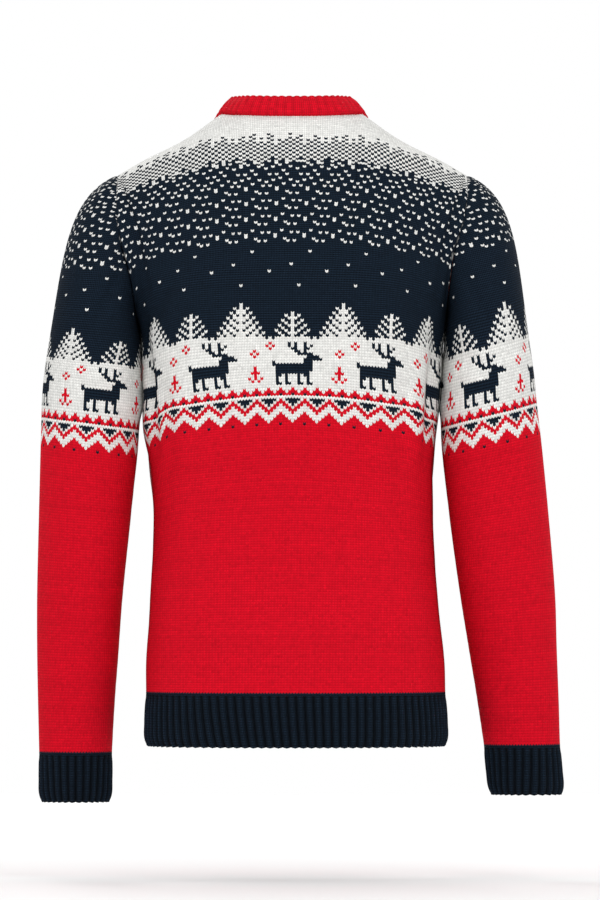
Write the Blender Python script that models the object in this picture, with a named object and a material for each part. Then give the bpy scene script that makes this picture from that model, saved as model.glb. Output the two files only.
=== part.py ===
"""A men's crew-neck Christmas jumper, filled out as when it is worn, with its arms hanging.

Nine knitted pieces, each a hollow wall: the back and front, two set-in sleeves, the two halves of
the ribbed hem, two ribbed cuffs and the ribbed neckband. The wearer faces -Y, the wearer's left is
+X, and the origin is in the middle of the neck at the height of its side points.
"""

import math
from collections import namedtuple

import bmesh
import bpy
import numpy as np

# Driving dimensions, in metres
KNIT_WALL = 0.0022
NECKBAND_WALL = 0.0030
SEAM_GAP = 0.0003
HEM_SEAM_Z = -0.619
CHEST_Z = -0.240
BICEP_Z = -0.240
LEFT_CUFF_SEAM_Z = -0.685
RIGHT_CUFF_SEAM_Z = -0.677
SLEEVE_CLEARANCE = 0.0005

# Where the neck and the shoulder end, as shares of the way from the centre to the side seam
BACK_NECK_END = 0.274
FRONT_NECK_END = 0.380
SHOULDER_END = 0.678

# How firmly the chest's line carries up into the yoke
CHEST_PULL = 0.42

HEM_RIBS_PER_HALF = 48
CUFF_RIBS = 28
NECKBAND_RIBS = 60
RIB_HEIGHT = 0.0013
RIB_PROFILE = (0.0, 0.72, 1.0, 0.72)

# Mesh spacing: spans across half a panel, spans up it, and spans round and down a sleeve
NECK_SPANS = 7
SHOULDER_SPANS = 4
ARMHOLE_SPANS = 8
BODY_SPANS = 8
YOKE_SPANS = 7
CAP_SPANS = 6
ARM_SPANS = 11

RED = (0.62, 0.012, 0.030, 1.0)
NAVY = (0.010, 0.017, 0.034, 1.0)
KNIT_ROUGHNESS = 0.9

# The torso below the chest: reach to the wearer's left and right, and behind and in front
BodySection = namedtuple("BodySection", "z left right back front squareness")
BODY_SECTIONS = (
    BodySection(-0.676, 0.1580, 0.1670, 0.120, 0.110, 2.35),
    BodySection(-0.619, 0.1570, 0.1650, 0.118, 0.108, 2.35),
    BodySection(-0.584, 0.1570, 0.1640, 0.114, 0.107, 2.35),
    BodySection(-0.529, 0.1530, 0.1580, 0.106, 0.104, 2.35),
    BodySection(-0.474, 0.1510, 0.1540, 0.098, 0.101, 2.35),
    BodySection(-0.426, 0.1490, 0.1510, 0.096, 0.100, 2.35),
    BodySection(-0.385, 0.1510, 0.1500, 0.098, 0.102, 2.35),
    BodySection(-0.354, 0.1550, 0.1530, 0.101, 0.106, 2.35),
    BodySection(-0.307, 0.1600, 0.1590, 0.106, 0.113, 2.40),
    BodySection(-0.281, 0.1610, 0.1610, 0.109, 0.117, 2.45),
    BodySection(-0.240, 0.1630, 0.1640, 0.112, 0.122, 2.50),
    BodySection(-0.203, 0.1670, 0.1665, 0.114, 0.125, 2.55),
)

# The top edge of a half panel: neckline, shoulder seam and armhole, with the way that the cloth
# runs into the edge there (to_x, to_y, to_z) and how firmly it does so (pull)
EdgePoint = namedtuple("EdgePoint", "across left_x right_x y z to_x to_y to_z pull")
BACK_NECKLINE = (
    EdgePoint(0.000, 0.000, 0.0000, 0.060, 0.0040, 0.00, -0.55, 0.83, 0.30),
    EdgePoint(0.100, 0.028, 0.0280, 0.057, 0.0043, 0.00, -0.58, 0.80, 0.30),
    EdgePoint(0.200, 0.055, 0.0550, 0.045, 0.0055, 0.00, -0.72, 0.62, 0.28),
    EdgePoint(0.274, 0.076, 0.0755, 0.016, 0.0070, 0.00, -1.00, 0.03, 0.25),
)
FRONT_NECKLINE = (
    EdgePoint(0.000, 0.000, 0.0000, -0.086, -0.0840, 0.00, 0.38, 0.93, 0.30),
    EdgePoint(0.120, 0.037, 0.0370, -0.080, -0.0760, -0.08, 0.42, 0.91, 0.30),
    EdgePoint(0.240, 0.067, 0.0670, -0.061, -0.0540, -0.18, 0.44, 0.88, 0.28),
    EdgePoint(0.320, 0.081, 0.0805, -0.034, -0.0270, -0.28, 0.58, 0.77, 0.25),
    EdgePoint(0.355, 0.083, 0.0820, -0.008, -0.0060, -0.34, 0.70, 0.62, 0.25),
    EdgePoint(0.380, 0.076, 0.0755, 0.016, 0.0070, -0.38, 0.93, 0.30, 0.27),
)
# The shoulder seam lies in one place on both panels, which run into it from opposite sides
BACK_SHOULDER = (
    EdgePoint(0.274, 0.076, 0.0755, 0.016, 0.0070, 0.00, -1.00, 0.03, 0.27),
    EdgePoint(0.415, 0.115, 0.1150, 0.010, -0.0205, 0.00, -1.00, 0.00, 0.31),
    EdgePoint(0.577, 0.160, 0.1600, 0.003, -0.0430, 0.04, -1.00, 0.00, 0.35),
    EdgePoint(0.678, 0.188, 0.1885, 0.000, -0.0590, 0.10, -0.98, 0.00, 0.36),
)
FRONT_SHOULDER = (
    EdgePoint(0.380, 0.076, 0.0755, 0.016, 0.0070, -0.38, 0.93, 0.30, 0.27),
    EdgePoint(0.484, 0.115, 0.1150, 0.010, -0.0205, -0.17, 0.98, 0.11, 0.31),
    EdgePoint(0.6035, 0.160, 0.1600, 0.003, -0.0430, -0.02, 1.00, 0.02, 0.35),
    EdgePoint(0.678, 0.188, 0.1885, 0.000, -0.0590, 0.10, 0.98, 0.00, 0.36),
)
BACK_ARMHOLE = (
    EdgePoint(0.678, 0.1880, 0.1885, 0.000, -0.059, 0.10, -0.98, 0.00, 0.36),
    EdgePoint(0.720, 0.1885, 0.1890, 0.024, -0.066, 0.35, -0.80, 0.48, 0.28),
    EdgePoint(0.765, 0.1890, 0.1885, 0.042, -0.086, 0.42, -0.66, 0.62, 0.24),
    EdgePoint(0.810, 0.1880, 0.1840, 0.053, -0.110, 0.46, -0.50, 0.73, 0.22),
    EdgePoint(0.855, 0.1830, 0.1755, 0.057, -0.136, 0.44, -0.38, 0.81, 0.22),
    EdgePoint(0.900, 0.1755, 0.1715, 0.052, -0.162, 0.34, -0.26, 0.90, 0.24),
    EdgePoint(0.950, 0.1700, 0.1680, 0.034, -0.189, 0.18, -0.12, 0.97, 0.28),
    EdgePoint(1.000, 0.1670, 0.1665, 0.000, -0.203, 0.06, 0.00, 1.00, 0.33),
)
FRONT_ARMHOLE = (
    EdgePoint(0.678, 0.1880, 0.1885, 0.000, -0.059, 0.10, 0.98, 0.00, 0.36),
    EdgePoint(0.720, 0.1865, 0.1870, -0.024, -0.067, 0.35, 0.80, 0.48, 0.28),
    EdgePoint(0.765, 0.1835, 0.1830, -0.043, -0.088, 0.42, 0.66, 0.62, 0.24),
    EdgePoint(0.810, 0.1790, 0.1775, -0.056, -0.113, 0.46, 0.50, 0.73, 0.22),
    EdgePoint(0.855, 0.1745, 0.1735, -0.061, -0.139, 0.44, 0.38, 0.81, 0.22),
    EdgePoint(0.900, 0.1715, 0.1710, -0.056, -0.164, 0.34, 0.26, 0.90, 0.24),
    EdgePoint(0.950, 0.1690, 0.1680, -0.036, -0.190, 0.18, 0.12, 0.97, 0.28),
    EdgePoint(1.000, 0.1670, 0.1665, 0.000, -0.203, 0.06, 0.00, 1.00, 0.33),
)

# How the sleeve cap leaves the armhole, from the underarm (0) round to the shoulder tip (1):
# the way out of the seam, how far it carries, and how far the hanging arm's line carries up
CapSeam = namedtuple("CapSeam", "share out_x out_y out_z reach rise")
CAP_BACK = (
    CapSeam(0.00, 0.05, 0.00, -1.00, 0.010, 0.010),
    CapSeam(0.25, 0.35, 0.45, -0.82, 0.020, 0.018),
    CapSeam(0.50, 0.62, 0.50, -0.60, 0.030, 0.040),
    CapSeam(0.75, 0.86, 0.35, -0.38, 0.045, 0.070),
    CapSeam(1.00, 0.93, 0.00, -0.37, 0.058, 0.098),
)
CAP_FRONT = (
    CapSeam(0.00, 0.05, 0.00, -1.00, 0.010, 0.010),
    CapSeam(0.25, 0.35, -0.45, -0.82, 0.020, 0.018),
    CapSeam(0.50, 0.66, -0.48, -0.58, 0.032, 0.040),
    CapSeam(0.75, 0.88, -0.33, -0.36, 0.048, 0.070),
    CapSeam(1.00, 0.93, 0.00, -0.37, 0.058, 0.098),
)

# The hanging sleeves: distances of the inner and outer edge from the middle of the body, the
# fore-and-aft place of the arm's line, and half the depth
SleeveSection = namedtuple("SleeveSection", "z inner outer middle_y half_depth squareness")
LEFT_SLEEVE_SECTIONS = (
    SleeveSection(-0.240, 0.1600, 0.2620, 0.000, 0.068, 2.20),
    SleeveSection(-0.272, 0.1590, 0.2670, 0.000, 0.067, 2.15),
    SleeveSection(-0.303, 0.1590, 0.2695, -0.001, 0.064, 2.10),
    SleeveSection(-0.320, 0.1640, 0.2700, -0.001, 0.063, 2.10),
    SleeveSection(-0.355, 0.1670, 0.2710, -0.002, 0.061, 2.10),
    SleeveSection(-0.431, 0.1750, 0.2730, -0.006, 0.057, 2.10),
    SleeveSection(-0.517, 0.1840, 0.2750, -0.013, 0.052, 2.10),
    SleeveSection(-0.578, 0.1885, 0.2750, -0.020, 0.048, 2.10),
    SleeveSection(-0.638, 0.1930, 0.2740, -0.027, 0.044, 2.10),
    SleeveSection(-0.685, 0.1955, 0.2730, -0.032, 0.041, 2.10),
    SleeveSection(-0.737, 0.1970, 0.2720, -0.036, 0.039, 2.10),
)
RIGHT_SLEEVE_SECTIONS = (
    SleeveSection(-0.240, 0.1600, 0.2560, 0.000, 0.068, 2.20),
    SleeveSection(-0.272, 0.1580, 0.2605, 0.000, 0.067, 2.15),
    SleeveSection(-0.303, 0.1580, 0.2635, -0.001, 0.064, 2.10),
    SleeveSection(-0.320, 0.1605, 0.2655, -0.001, 0.063, 2.10),
    SleeveSection(-0.350, 0.1620, 0.2690, -0.002, 0.061, 2.10),
    SleeveSection(-0.431, 0.1710, 0.2770, -0.006, 0.057, 2.10),
    SleeveSection(-0.517, 0.1830, 0.2840, -0.013, 0.052, 2.10),
    SleeveSection(-0.566, 0.1910, 0.2855, -0.019, 0.048, 2.10),
    SleeveSection(-0.630, 0.2015, 0.2880, -0.026, 0.044, 2.10),
    SleeveSection(-0.677, 0.2085, 0.2895, -0.031, 0.041, 2.10),
    SleeveSection(-0.730, 0.2150, 0.2930, -0.035, 0.039, 2.10),
)

# Soft troughs in the torso: which panel (+1 back, -1 front), where across it, the heights where
# it fades out, its width and its depth
Fold = namedtuple("Fold", "side across top bottom width depth")
BODY_FOLDS = (
    Fold(1, 0.800, -0.215, -0.380, 0.011, 0.0075),
    Fold(1, -0.770, -0.225, -0.400, 0.012, 0.0070),
    Fold(-1, 0.790, -0.220, -0.370, 0.012, 0.0070),
    Fold(-1, -0.800, -0.215, -0.390, 0.011, 0.0065),
)

# The ribbed bands, from the seam to the free edge: how far along, and how far it stands in
BandRow = namedtuple("BandRow", "along inset")
HEM_ROWS = (
    BandRow(0.000, 0.0005),
    BandRow(0.030, -0.0005),
    BandRow(0.051, 0.0010),
    BandRow(0.057, 0.0050),
)
CUFF_ROWS = (
    BandRow(0.000, 0.0004),
    BandRow(0.026, -0.0004),
    BandRow(0.047, 0.0008),
    BandRow(0.0525, 0.0042),
)
NECKBAND_ROWS = (
    BandRow(0.0000, 0.0000),
    BandRow(0.0090, 0.0028),
    BandRow(0.0175, 0.0088),
    BandRow(0.0232, 0.0165),
)
# The neckband lies flatter over the shoulder points than behind and in front
NECKBAND_SIDE_RISE = 0.82
NECKBAND_LEAN = np.array([1.0, 1.35, 0.0])
NECK_CENTRE = np.array([0.0, -0.013, 0.0])

ARC_SAMPLES = 181
STEP = 1e-4


def smooth_between(xs, ys, at):
    """Read a smooth curve through the points (xs, ys) at the places in `at`."""
    xs = np.asarray(xs, float)
    ys = np.asarray(ys, float)
    at = np.clip(np.asarray(at, float), xs[0], xs[-1])
    chords = np.diff(ys) / np.diff(xs)
    slopes = np.concatenate(([chords[0]], (chords[1:] + chords[:-1]) / 2, [chords[-1]]))
    span = np.clip(np.searchsorted(xs, at) - 1, 0, len(xs) - 2)
    width = xs[span + 1] - xs[span]
    t = (at - xs[span]) / width
    rise = (3 - 2 * t) * t * t
    return (ys[span] * (1 - rise) + ys[span + 1] * rise
            + width * slopes[span] * t * (1 - t) ** 2
            - width * slopes[span + 1] * t * t * (1 - t))


def column(rows, name, at, along):
    """Read one named column of a table, smoothly, against the column `along`."""
    return smooth_between([getattr(row, along) for row in rows],
                          [getattr(row, name) for row in rows], at)


def unit(vectors):
    """Scale vectors to length 1."""
    return vectors / np.maximum(np.linalg.norm(vectors, axis=-1, keepdims=True), 1e-12)


def half_oval(across, squareness, ratio):
    """Places on a half oval of width 1 and depth `ratio`, spread evenly along its length."""
    turn = np.linspace(-math.pi / 2, math.pi / 2, ARC_SAMPLES)
    power = 2 / squareness
    x = np.sign(turn) * np.abs(np.sin(turn)) ** power
    y = np.abs(np.cos(turn)) ** power
    length = np.concatenate(([0], np.cumsum(np.hypot(np.diff(x), ratio * np.diff(y)))))
    place = (np.asarray(across) + 1) / 2 * length[-1]
    return np.interp(place, length, x), np.interp(place, length, y)


def torso_ring(side, across, z):
    """Points of one torso section; side is +1 behind the side seams and -1 in front of them."""
    left, right, back, front, squareness = (
        float(column(BODY_SECTIONS, name, z, "z"))
        for name in ("left", "right", "back", "front", "squareness"))
    depth = back if side > 0 else front
    half = (left + right) / 2
    x, y = half_oval(across, squareness, depth / half)
    points = np.stack([(left - right) / 2 + half * x, side * depth * y,
                       np.full_like(x, z)], axis=-1)
    centre = np.array([(left - right) / 2, 0.0, z])
    inward = unit(centre - points)
    return points + inward * fold_depth(side, across, z)[:, None]


def torso_reach(hand, z):
    """How far the side seam stands from the middle of the body."""
    return float(column(BODY_SECTIONS, "left" if hand > 0 else "right", z, "z"))


def fold_depth(side, across, z):
    """How far the folds draw a torso section in at each place across it."""
    depth = np.zeros(len(across))
    half_girth = 0.230
    for fold in BODY_FOLDS:
        if fold.side != side or not fold.bottom < z < fold.top:
            continue
        along = (z - fold.bottom) / (fold.top - fold.bottom)
        strength = math.sin(math.pi * along ** 1.4) ** 0.8
        away = (across - fold.across) * half_girth / fold.width
        depth += fold.depth * strength * np.exp(-away ** 2)
    return depth


def edge_rows(side, across):
    """The table that holds a panel's top edge at this share of the way to the side seam."""
    behind = side > 0
    if across < (BACK_NECK_END if behind else FRONT_NECK_END):
        return BACK_NECKLINE if behind else FRONT_NECKLINE
    if across < SHOULDER_END:
        return BACK_SHOULDER if behind else FRONT_SHOULDER
    return BACK_ARMHOLE if behind else FRONT_ARMHOLE


def top_edge(side, across):
    """The top edge of a panel, the way that the cloth runs into it, and its pull."""
    points = np.zeros((len(across), 3))
    ways = np.zeros((len(across), 3))
    pulls = np.zeros(len(across))
    for n, place in enumerate(across):
        rows = edge_rows(side, abs(place))
        hand = 1 if place >= 0 else -1
        reach = "left_x" if hand > 0 else "right_x"
        x, y, z, to_x, to_y, to_z, pull = (
            float(column(rows, name, abs(place), "across"))
            for name in (reach, "y", "z", "to_x", "to_y", "to_z", "pull"))
        points[n] = (hand * x, y, z)
        ways[n] = (hand * to_x, to_y, to_z)
        pulls[n] = pull
    return points, unit(ways), pulls


def bezier(start, start_handle, end_handle, end, t):
    """Points at shares t of cubic curves, one curve for each row of the four arrays."""
    t = np.asarray(t)[:, None, None]
    return ((1 - t) ** 3 * start + 3 * t * (1 - t) ** 2 * start_handle
            + 3 * t ** 2 * (1 - t) * end_handle + t ** 3 * end)


def yoke(side, across, shares):
    """The panel from the chest section (share 0) up to its top edge (share 1)."""
    chest = torso_ring(side, across, CHEST_Z)
    rising = unit(chest - torso_ring(side, across, CHEST_Z - 0.01))
    edge, way, pull = top_edge(side, across)
    chord = np.linalg.norm(edge - chest, axis=1)[:, None]
    return bezier(chest, chest + CHEST_PULL * chord * rising,
                  edge - pull[:, None] * chord * way, edge, shares)


def panel_point(side, across, up):
    """Points of a panel: up runs 0 to 1 from hem seam to chest and 1 to 2 on to the top edge."""
    rows = []
    for level in up:
        if level <= 1:
            rows.append(torso_ring(side, across, HEM_SEAM_Z + level * (CHEST_Z - HEM_SEAM_Z)))
        else:
            rows.append(yoke(side, across, [level - 1])[0])
    return np.array(rows)


def sleeve_seam(hand, share):
    """The armhole seam; share runs 0 at the underarm, 0.5 at the shoulder tip, 1 underarm."""
    points = np.zeros((len(share), 3))
    ways = np.zeros((len(share), 3))
    reach = np.zeros(len(share))
    rise = np.zeros(len(share))
    for n, place in enumerate(share):
        behind = place <= 0.5
        climb = 2 * place if behind else 2 * (1 - place)
        side = 1 if behind else -1
        across = np.array([hand * (1 - climb * (1 - SHOULDER_END) * (1 - 1e-9))])
        points[n] = top_edge(side, across)[0][0]
        cap = CAP_BACK if behind else CAP_FRONT
        out_x, out_y, out_z, reach[n], rise[n] = (
            float(column(cap, name, climb, "share"))
            for name in ("out_x", "out_y", "out_z", "reach", "rise"))
        ways[n] = (hand * out_x, out_y, out_z)
    return points, unit(ways), reach, rise


def arm_ring(hand, share, z):
    """Points of one section of a hanging sleeve."""
    rows = LEFT_SLEEVE_SECTIONS if hand > 0 else RIGHT_SLEEVE_SECTIONS
    rows = rows[::-1]
    inner, outer, middle, depth, squareness = (
        float(column(rows, name, z, "z"))
        for name in ("inner", "outer", "middle_y", "half_depth", "squareness"))
    inner = max(inner, torso_reach(hand, z) + SLEEVE_CLEARANCE)
    half = (outer - inner) / 2
    behind = share <= 0.5
    across = np.where(behind, 4 * share - 1, 3 - 4 * share)
    x, y = half_oval(across, squareness, depth / half)
    return np.stack([hand * ((inner + outer) / 2 + half * x),
                     middle + np.where(behind, 1, -1) * depth * y,
                     np.full_like(x, z)], axis=-1)


def cuff_seam_z(hand):
    """The height of the seam between a sleeve and its cuff."""
    return LEFT_CUFF_SEAM_Z if hand > 0 else RIGHT_CUFF_SEAM_Z


def sleeve_point(hand, share, down):
    """Points of a sleeve: down runs 0 to 1 from the armhole to the bicep, 1 to 2 to the cuff."""
    seam, way, reach, rise = sleeve_seam(hand, share)
    bicep = arm_ring(hand, share, BICEP_Z)
    hanging = unit(arm_ring(hand, share, BICEP_Z - 0.01) - bicep)
    rows = []
    for level in down:
        if level <= 1:
            rows.append(bezier(seam, seam + reach[:, None] * way,
                               bicep - rise[:, None] * hanging, bicep, [level])[0])
        else:
            z = BICEP_Z + (level - 1) * (cuff_seam_z(hand) - BICEP_Z)
            rows.append(arm_ring(hand, share, z))
    return np.array(rows)


def grid_normals(surface, across, along, first, last):
    """Normals of a surface at a grid of places, read beside each place."""
    ahead = np.minimum(across + STEP, first[1])
    behind = np.maximum(across - STEP, first[0])
    later = np.minimum(along + STEP, last[1])
    sooner = np.maximum(along - STEP, last[0])
    sideways = surface(ahead, along) - surface(behind, along)
    onward = surface(across, later) - surface(across, sooner)
    return unit(np.cross(sideways, onward))


def panel_normals(side, across, up):
    """Outward normals of a panel."""
    def surface(u, v):
        return panel_point(side, u, v)
    return -side * grid_normals(surface, across, up, (-1.0, 1.0), (0.0, 2.0))


def sleeve_normals(hand, share, down):
    """Outward normals of a sleeve."""
    def surface(u, v):
        return sleeve_point(hand, u % 1.0, v)
    return hand * grid_normals(surface, share, down, (-1.0, 2.0), (0.0, 2.0))


def shared_lean(own, other):
    """The way that a wall's edge leans at a seam: halfway to the neighbour's, if that is near."""
    halfway = unit(own + other)
    stretch = 1 / np.maximum(np.sum(halfway * own, axis=-1, keepdims=True), 0.75)
    near = np.sum(own * other, axis=-1, keepdims=True) > 0.2
    return np.where(near, halfway * stretch, own)


def trimmed_loop(points, normals, inside):
    """Draw a closed run of edge points half a seam gap into their piece."""
    onward = unit(np.roll(points, -1, axis=0) - points)
    after = unit(np.cross(normals, onward))
    before = unit(np.cross(normals, np.roll(onward, 1, axis=0)))
    facing = np.sign(np.sum((after + before) * (inside - points)))
    together = 1 + np.sum(after * before, axis=-1, keepdims=True)
    return points + facing * (after + before) / np.maximum(together, 0.3) * SEAM_GAP / 2


def wall_mesh(name, outer, inner, closed_round):
    """A closed wall between an outer and an inner grid of points, rows by columns.

    The outer grid may have several columns for each one of the inner grid.
    """
    mesh = bpy.data.meshes.new(name)
    work = bmesh.new()
    rows, outer_columns = outer.shape[:2]
    inner_columns = inner.shape[1]
    outer_spans = outer_columns if closed_round else outer_columns - 1
    inner_spans = inner_columns if closed_round else inner_columns - 1
    ratio = outer_spans // inner_spans
    outer_verts = [[work.verts.new(p) for p in row] for row in outer]
    inner_verts = [[work.verts.new(p) for p in row] for row in inner]
    for grid, spans in ((outer_verts, outer_spans), (inner_verts, inner_spans)):
        for low, high in zip(grid, grid[1:]):
            for n in range(spans):
                m = (n + 1) % len(low)
                corners = (low[n], low[m], high[m], high[n])
                work.faces.new(corners if grid is outer_verts else corners[::-1])
    for r in (0, rows - 1):
        for n in range(inner_spans):
            run = [outer_verts[r][(n * ratio + k) % outer_columns] for k in range(ratio + 1)]
            rim = run + [inner_verts[r][(n + 1) % inner_columns], inner_verts[r][n]]
            work.faces.new(rim[::-1] if r == 0 else rim)
    if not closed_round:
        for c_outer, c_inner in ((0, 0), (-1, -1)):
            for r in range(rows - 1):
                rim = (outer_verts[r][c_outer], outer_verts[r + 1][c_outer],
                       inner_verts[r + 1][c_inner], inner_verts[r][c_inner])
                work.faces.new(rim)
    bmesh.ops.recalc_face_normals(work, faces=work.faces)
    bmesh.ops.triangulate(work, faces=work.faces)
    work.to_mesh(mesh)
    work.free()
    return mesh


def knit_material(name, colour):
    """A matt knitted finish."""
    material = bpy.data.materials.new(name)
    material.use_nodes = True
    shader = material.node_tree.nodes["Principled BSDF"]
    shader.inputs["Base Color"].default_value = colour
    shader.inputs["Roughness"].default_value = KNIT_ROUGHNESS
    shader.inputs["Metallic"].default_value = 0.0
    return material


def add_piece(collection, name, mesh, material):
    """Put a piece in the garment's collection with its own material."""
    mesh.shade_smooth()
    mesh.set_sharp_from_angle(angle=math.radians(50))
    piece = bpy.data.objects.new(name, mesh)
    piece.data.materials.append(material)
    collection.objects.link(piece)


def spread(start, end, spans):
    """Evenly spaced places from start up to, and without, end."""
    return [start + (end - start) * n / spans for n in range(spans)]


def panel_columns(side):
    """Places across a panel, with one on each corner of its top edge."""
    neck_end = BACK_NECK_END if side > 0 else FRONT_NECK_END
    half = spread(0, neck_end, NECK_SPANS)
    half += spread(neck_end, SHOULDER_END, SHOULDER_SPANS)
    half += spread(SHOULDER_END, 1, ARMHOLE_SPANS) + [1.0]
    return np.array([-place for place in half[:0:-1]] + half)


def panel(collection, name, side, colour):
    """The back or front panel, from hem seam to neckline, shoulders and armholes."""
    across = panel_columns(side)
    up = np.array(spread(0, 1, BODY_SPANS) + spread(1, 2, YOKE_SPANS) + [2.0])
    outer = panel_point(side, across, up)
    normals = panel_normals(side, across, up)

    rows, columns = outer.shape[:2]
    loop = [(0, c) for c in range(columns)]
    loop += [(r, columns - 1) for r in range(1, rows)]
    loop += [(rows - 1, c) for c in range(columns - 2, -1, -1)]
    loop += [(r, 0) for r in range(rows - 2, 0, -1)]
    r, c = np.array(loop).T
    inside = outer[np.clip(r, 1, rows - 2), np.clip(c, 1, columns - 2)]
    outer[r, c] = trimmed_loop(outer[r, c], normals[r, c], inside)

    lean = normals.copy()
    own_end, other_end = (BACK_NECK_END, FRONT_NECK_END)[::side]
    for hand in (1, -1):
        along = (across * hand - own_end) / (SHOULDER_END - own_end)
        at_shoulder = (along > -1e-9) & (along < 1 - 1e-9)
        there = hand * (other_end + along[at_shoulder] * (SHOULDER_END - other_end))
        beyond = panel_normals(-side, there, np.array([2.0]))[0]
        lean[-1, at_shoulder] = shared_lean(normals[-1, at_shoulder], beyond)
        at_armhole = across * hand >= SHOULDER_END - 1e-9
        climb = (1 - np.abs(across[at_armhole])) / (1 - SHOULDER_END)
        share = climb / 2 if side > 0 else 1 - climb / 2
        beyond = sleeve_normals(hand, share, np.array([0.0]))[0]
        lean[-1, at_armhole] = shared_lean(normals[-1, at_armhole], beyond)
    inner = outer - lean * KNIT_WALL
    mesh = wall_mesh(name, outer, inner, closed_round=False)
    add_piece(collection, name, mesh, knit_material(name, colour))

    on_neck = np.abs(across) <= own_end + 1e-9
    return outer[-1, on_neck], normals[-1, on_neck]


def sleeve(collection, name, hand, colour):
    """A set-in sleeve, from its armhole seam to the cuff seam."""
    around = 2 * ARMHOLE_SPANS
    share = np.arange(around) / around
    down = np.array(spread(0, 1, CAP_SPANS) + spread(1, 2, ARM_SPANS) + [2.0])
    outer = sleeve_point(hand, share, down)
    normals = sleeve_normals(hand, share, down)
    for row, beside in ((0, 1), (-1, -2)):
        outer[row] = trimmed_loop(outer[row], normals[row], outer[beside])

    lean = normals.copy()
    for side in (1, -1):
        met = share <= 0.5 if side > 0 else share > 0.5
        climb = 2 * share[met] if side > 0 else 2 * (1 - share[met])
        across = hand * (1 - climb * (1 - SHOULDER_END))
        body = panel_normals(side, across, np.array([2.0]))[0]
        lean[0, met] = shared_lean(normals[0, met], body)
    inner = outer - lean * KNIT_WALL
    mesh = wall_mesh(name, outer, inner, closed_round=True)
    add_piece(collection, name, mesh, knit_material(name, colour))


def rib_swell(columns):
    """How far each outer column of a ribbed band stands out."""
    return np.array([RIB_HEIGHT * RIB_PROFILE[n % len(RIB_PROFILE)] for n in range(columns)])


def hem_rib(collection, name, side):
    """Half of the ribbed hem, between the side seams."""
    per_rib = len(RIB_PROFILE)
    columns = HEM_RIBS_PER_HALF * per_rib + 1
    across = np.linspace(-1, 1, columns)
    outer = []
    inner = []
    for row in HEM_ROWS:
        z = HEM_SEAM_Z - row.along
        ring = torso_ring(side, across, max(z, BODY_SECTIONS[0].z))
        ring[:, 2] = z - SEAM_GAP / 2
        beside = torso_ring(side, np.clip(across + STEP, -1, 1), z)[:, :2]
        before = torso_ring(side, np.clip(across - STEP, -1, 1), z)[:, :2]
        tangent = unit(beside - before)
        out = np.stack([tangent[:, 1], -tangent[:, 0], np.zeros(columns)], axis=-1) * -side
        ends = np.zeros((columns, 3))
        ends[0] = (0, side * SEAM_GAP / 2, 0)
        ends[-1] = (0, side * SEAM_GAP / 2, 0)
        plain = ring + ends - out * row.inset
        outer.append(plain + out * rib_swell(columns)[:, None])
        inner.append((plain - out * KNIT_WALL)[::per_rib])
    mesh = wall_mesh(name, np.array(outer), np.array(inner), closed_round=False)
    add_piece(collection, name, mesh, knit_material(name, NAVY))


def cuff(collection, name, hand):
    """A ribbed cuff below its sleeve."""
    per_rib = len(RIB_PROFILE)
    columns = CUFF_RIBS * per_rib
    share = np.arange(columns) / columns
    outer = []
    inner = []
    for row in CUFF_ROWS:
        z = cuff_seam_z(hand) - row.along
        ring = arm_ring(hand, share, z)
        ring[:, 2] = z - SEAM_GAP / 2
        tangent = unit((arm_ring(hand, (share + STEP) % 1.0, z)
                        - arm_ring(hand, (share - STEP) % 1.0, z))[:, :2])
        out = np.stack([tangent[:, 1], -tangent[:, 0], np.zeros(columns)], axis=-1)
        middle = ring.mean(axis=0)
        out *= np.sign(np.sum(out * (ring - middle)))
        plain = ring - out * row.inset
        outer.append(plain + out * rib_swell(columns)[:, None])
        inner.append((plain - out * KNIT_WALL)[::per_rib])
    mesh = wall_mesh(name, np.array(outer), np.array(inner), closed_round=True)
    add_piece(collection, name, mesh, knit_material(name, NAVY))


def neckband(collection, name, back_edge, front_edge):
    """The ribbed band that rises from the neckline and leans in over it."""
    ring, facing = (np.concatenate([back, front[::-1][1:-1], back[:1]])
                    for back, front in zip(back_edge, front_edge))
    length = np.concatenate(([0], np.cumsum(np.linalg.norm(np.diff(ring, axis=0), axis=1))))
    per_rib = len(RIB_PROFILE)
    columns = NECKBAND_RIBS * per_rib
    place = np.arange(columns) / columns * length[-1]
    base = np.stack([np.interp(place, length, ring[:, k]) for k in range(3)], axis=-1)
    facing = unit(np.stack([np.interp(place, length, facing[:, k]) for k in range(3)], axis=-1))

    onward = unit(np.roll(base, -1, axis=0) - np.roll(base, 1, axis=0))
    beyond = unit(np.cross(facing, onward))
    beyond *= np.sign(np.sum(beyond * (NECK_CENTRE - base)))
    out = (base - NECK_CENTRE) * NECKBAND_LEAN
    out = unit(out)
    rise = 1 - (1 - NECKBAND_SIDE_RISE) * np.abs(out[:, 0]) ** 3
    outer = []
    inner = []
    for row in NECKBAND_ROWS:
        plain = base + beyond * SEAM_GAP - out * row.inset
        plain[:, 2] += row.along * rise
        steep = row.inset / NECKBAND_ROWS[-1].inset
        turned = min(1.0, row.along / NECKBAND_ROWS[1].along)
        band = unit(out + np.array([0, 0, 0.25 + 0.65 * steep]))
        away = unit(facing * (1 - turned) + band * turned)
        outer.append(plain + away * rib_swell(columns)[:, None])
        inner.append((plain - away * NECKBAND_WALL)[::per_rib])
    mesh = wall_mesh(name, np.array(outer), np.array(inner), closed_round=True)
    add_piece(collection, name, mesh, knit_material(name, RED))


for old in list(bpy.data.objects):
    bpy.data.objects.remove(old, do_unlink=True)

jumper = bpy.data.collections.new("christmas_sweater")
bpy.context.scene.collection.children.link(jumper)

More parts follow.
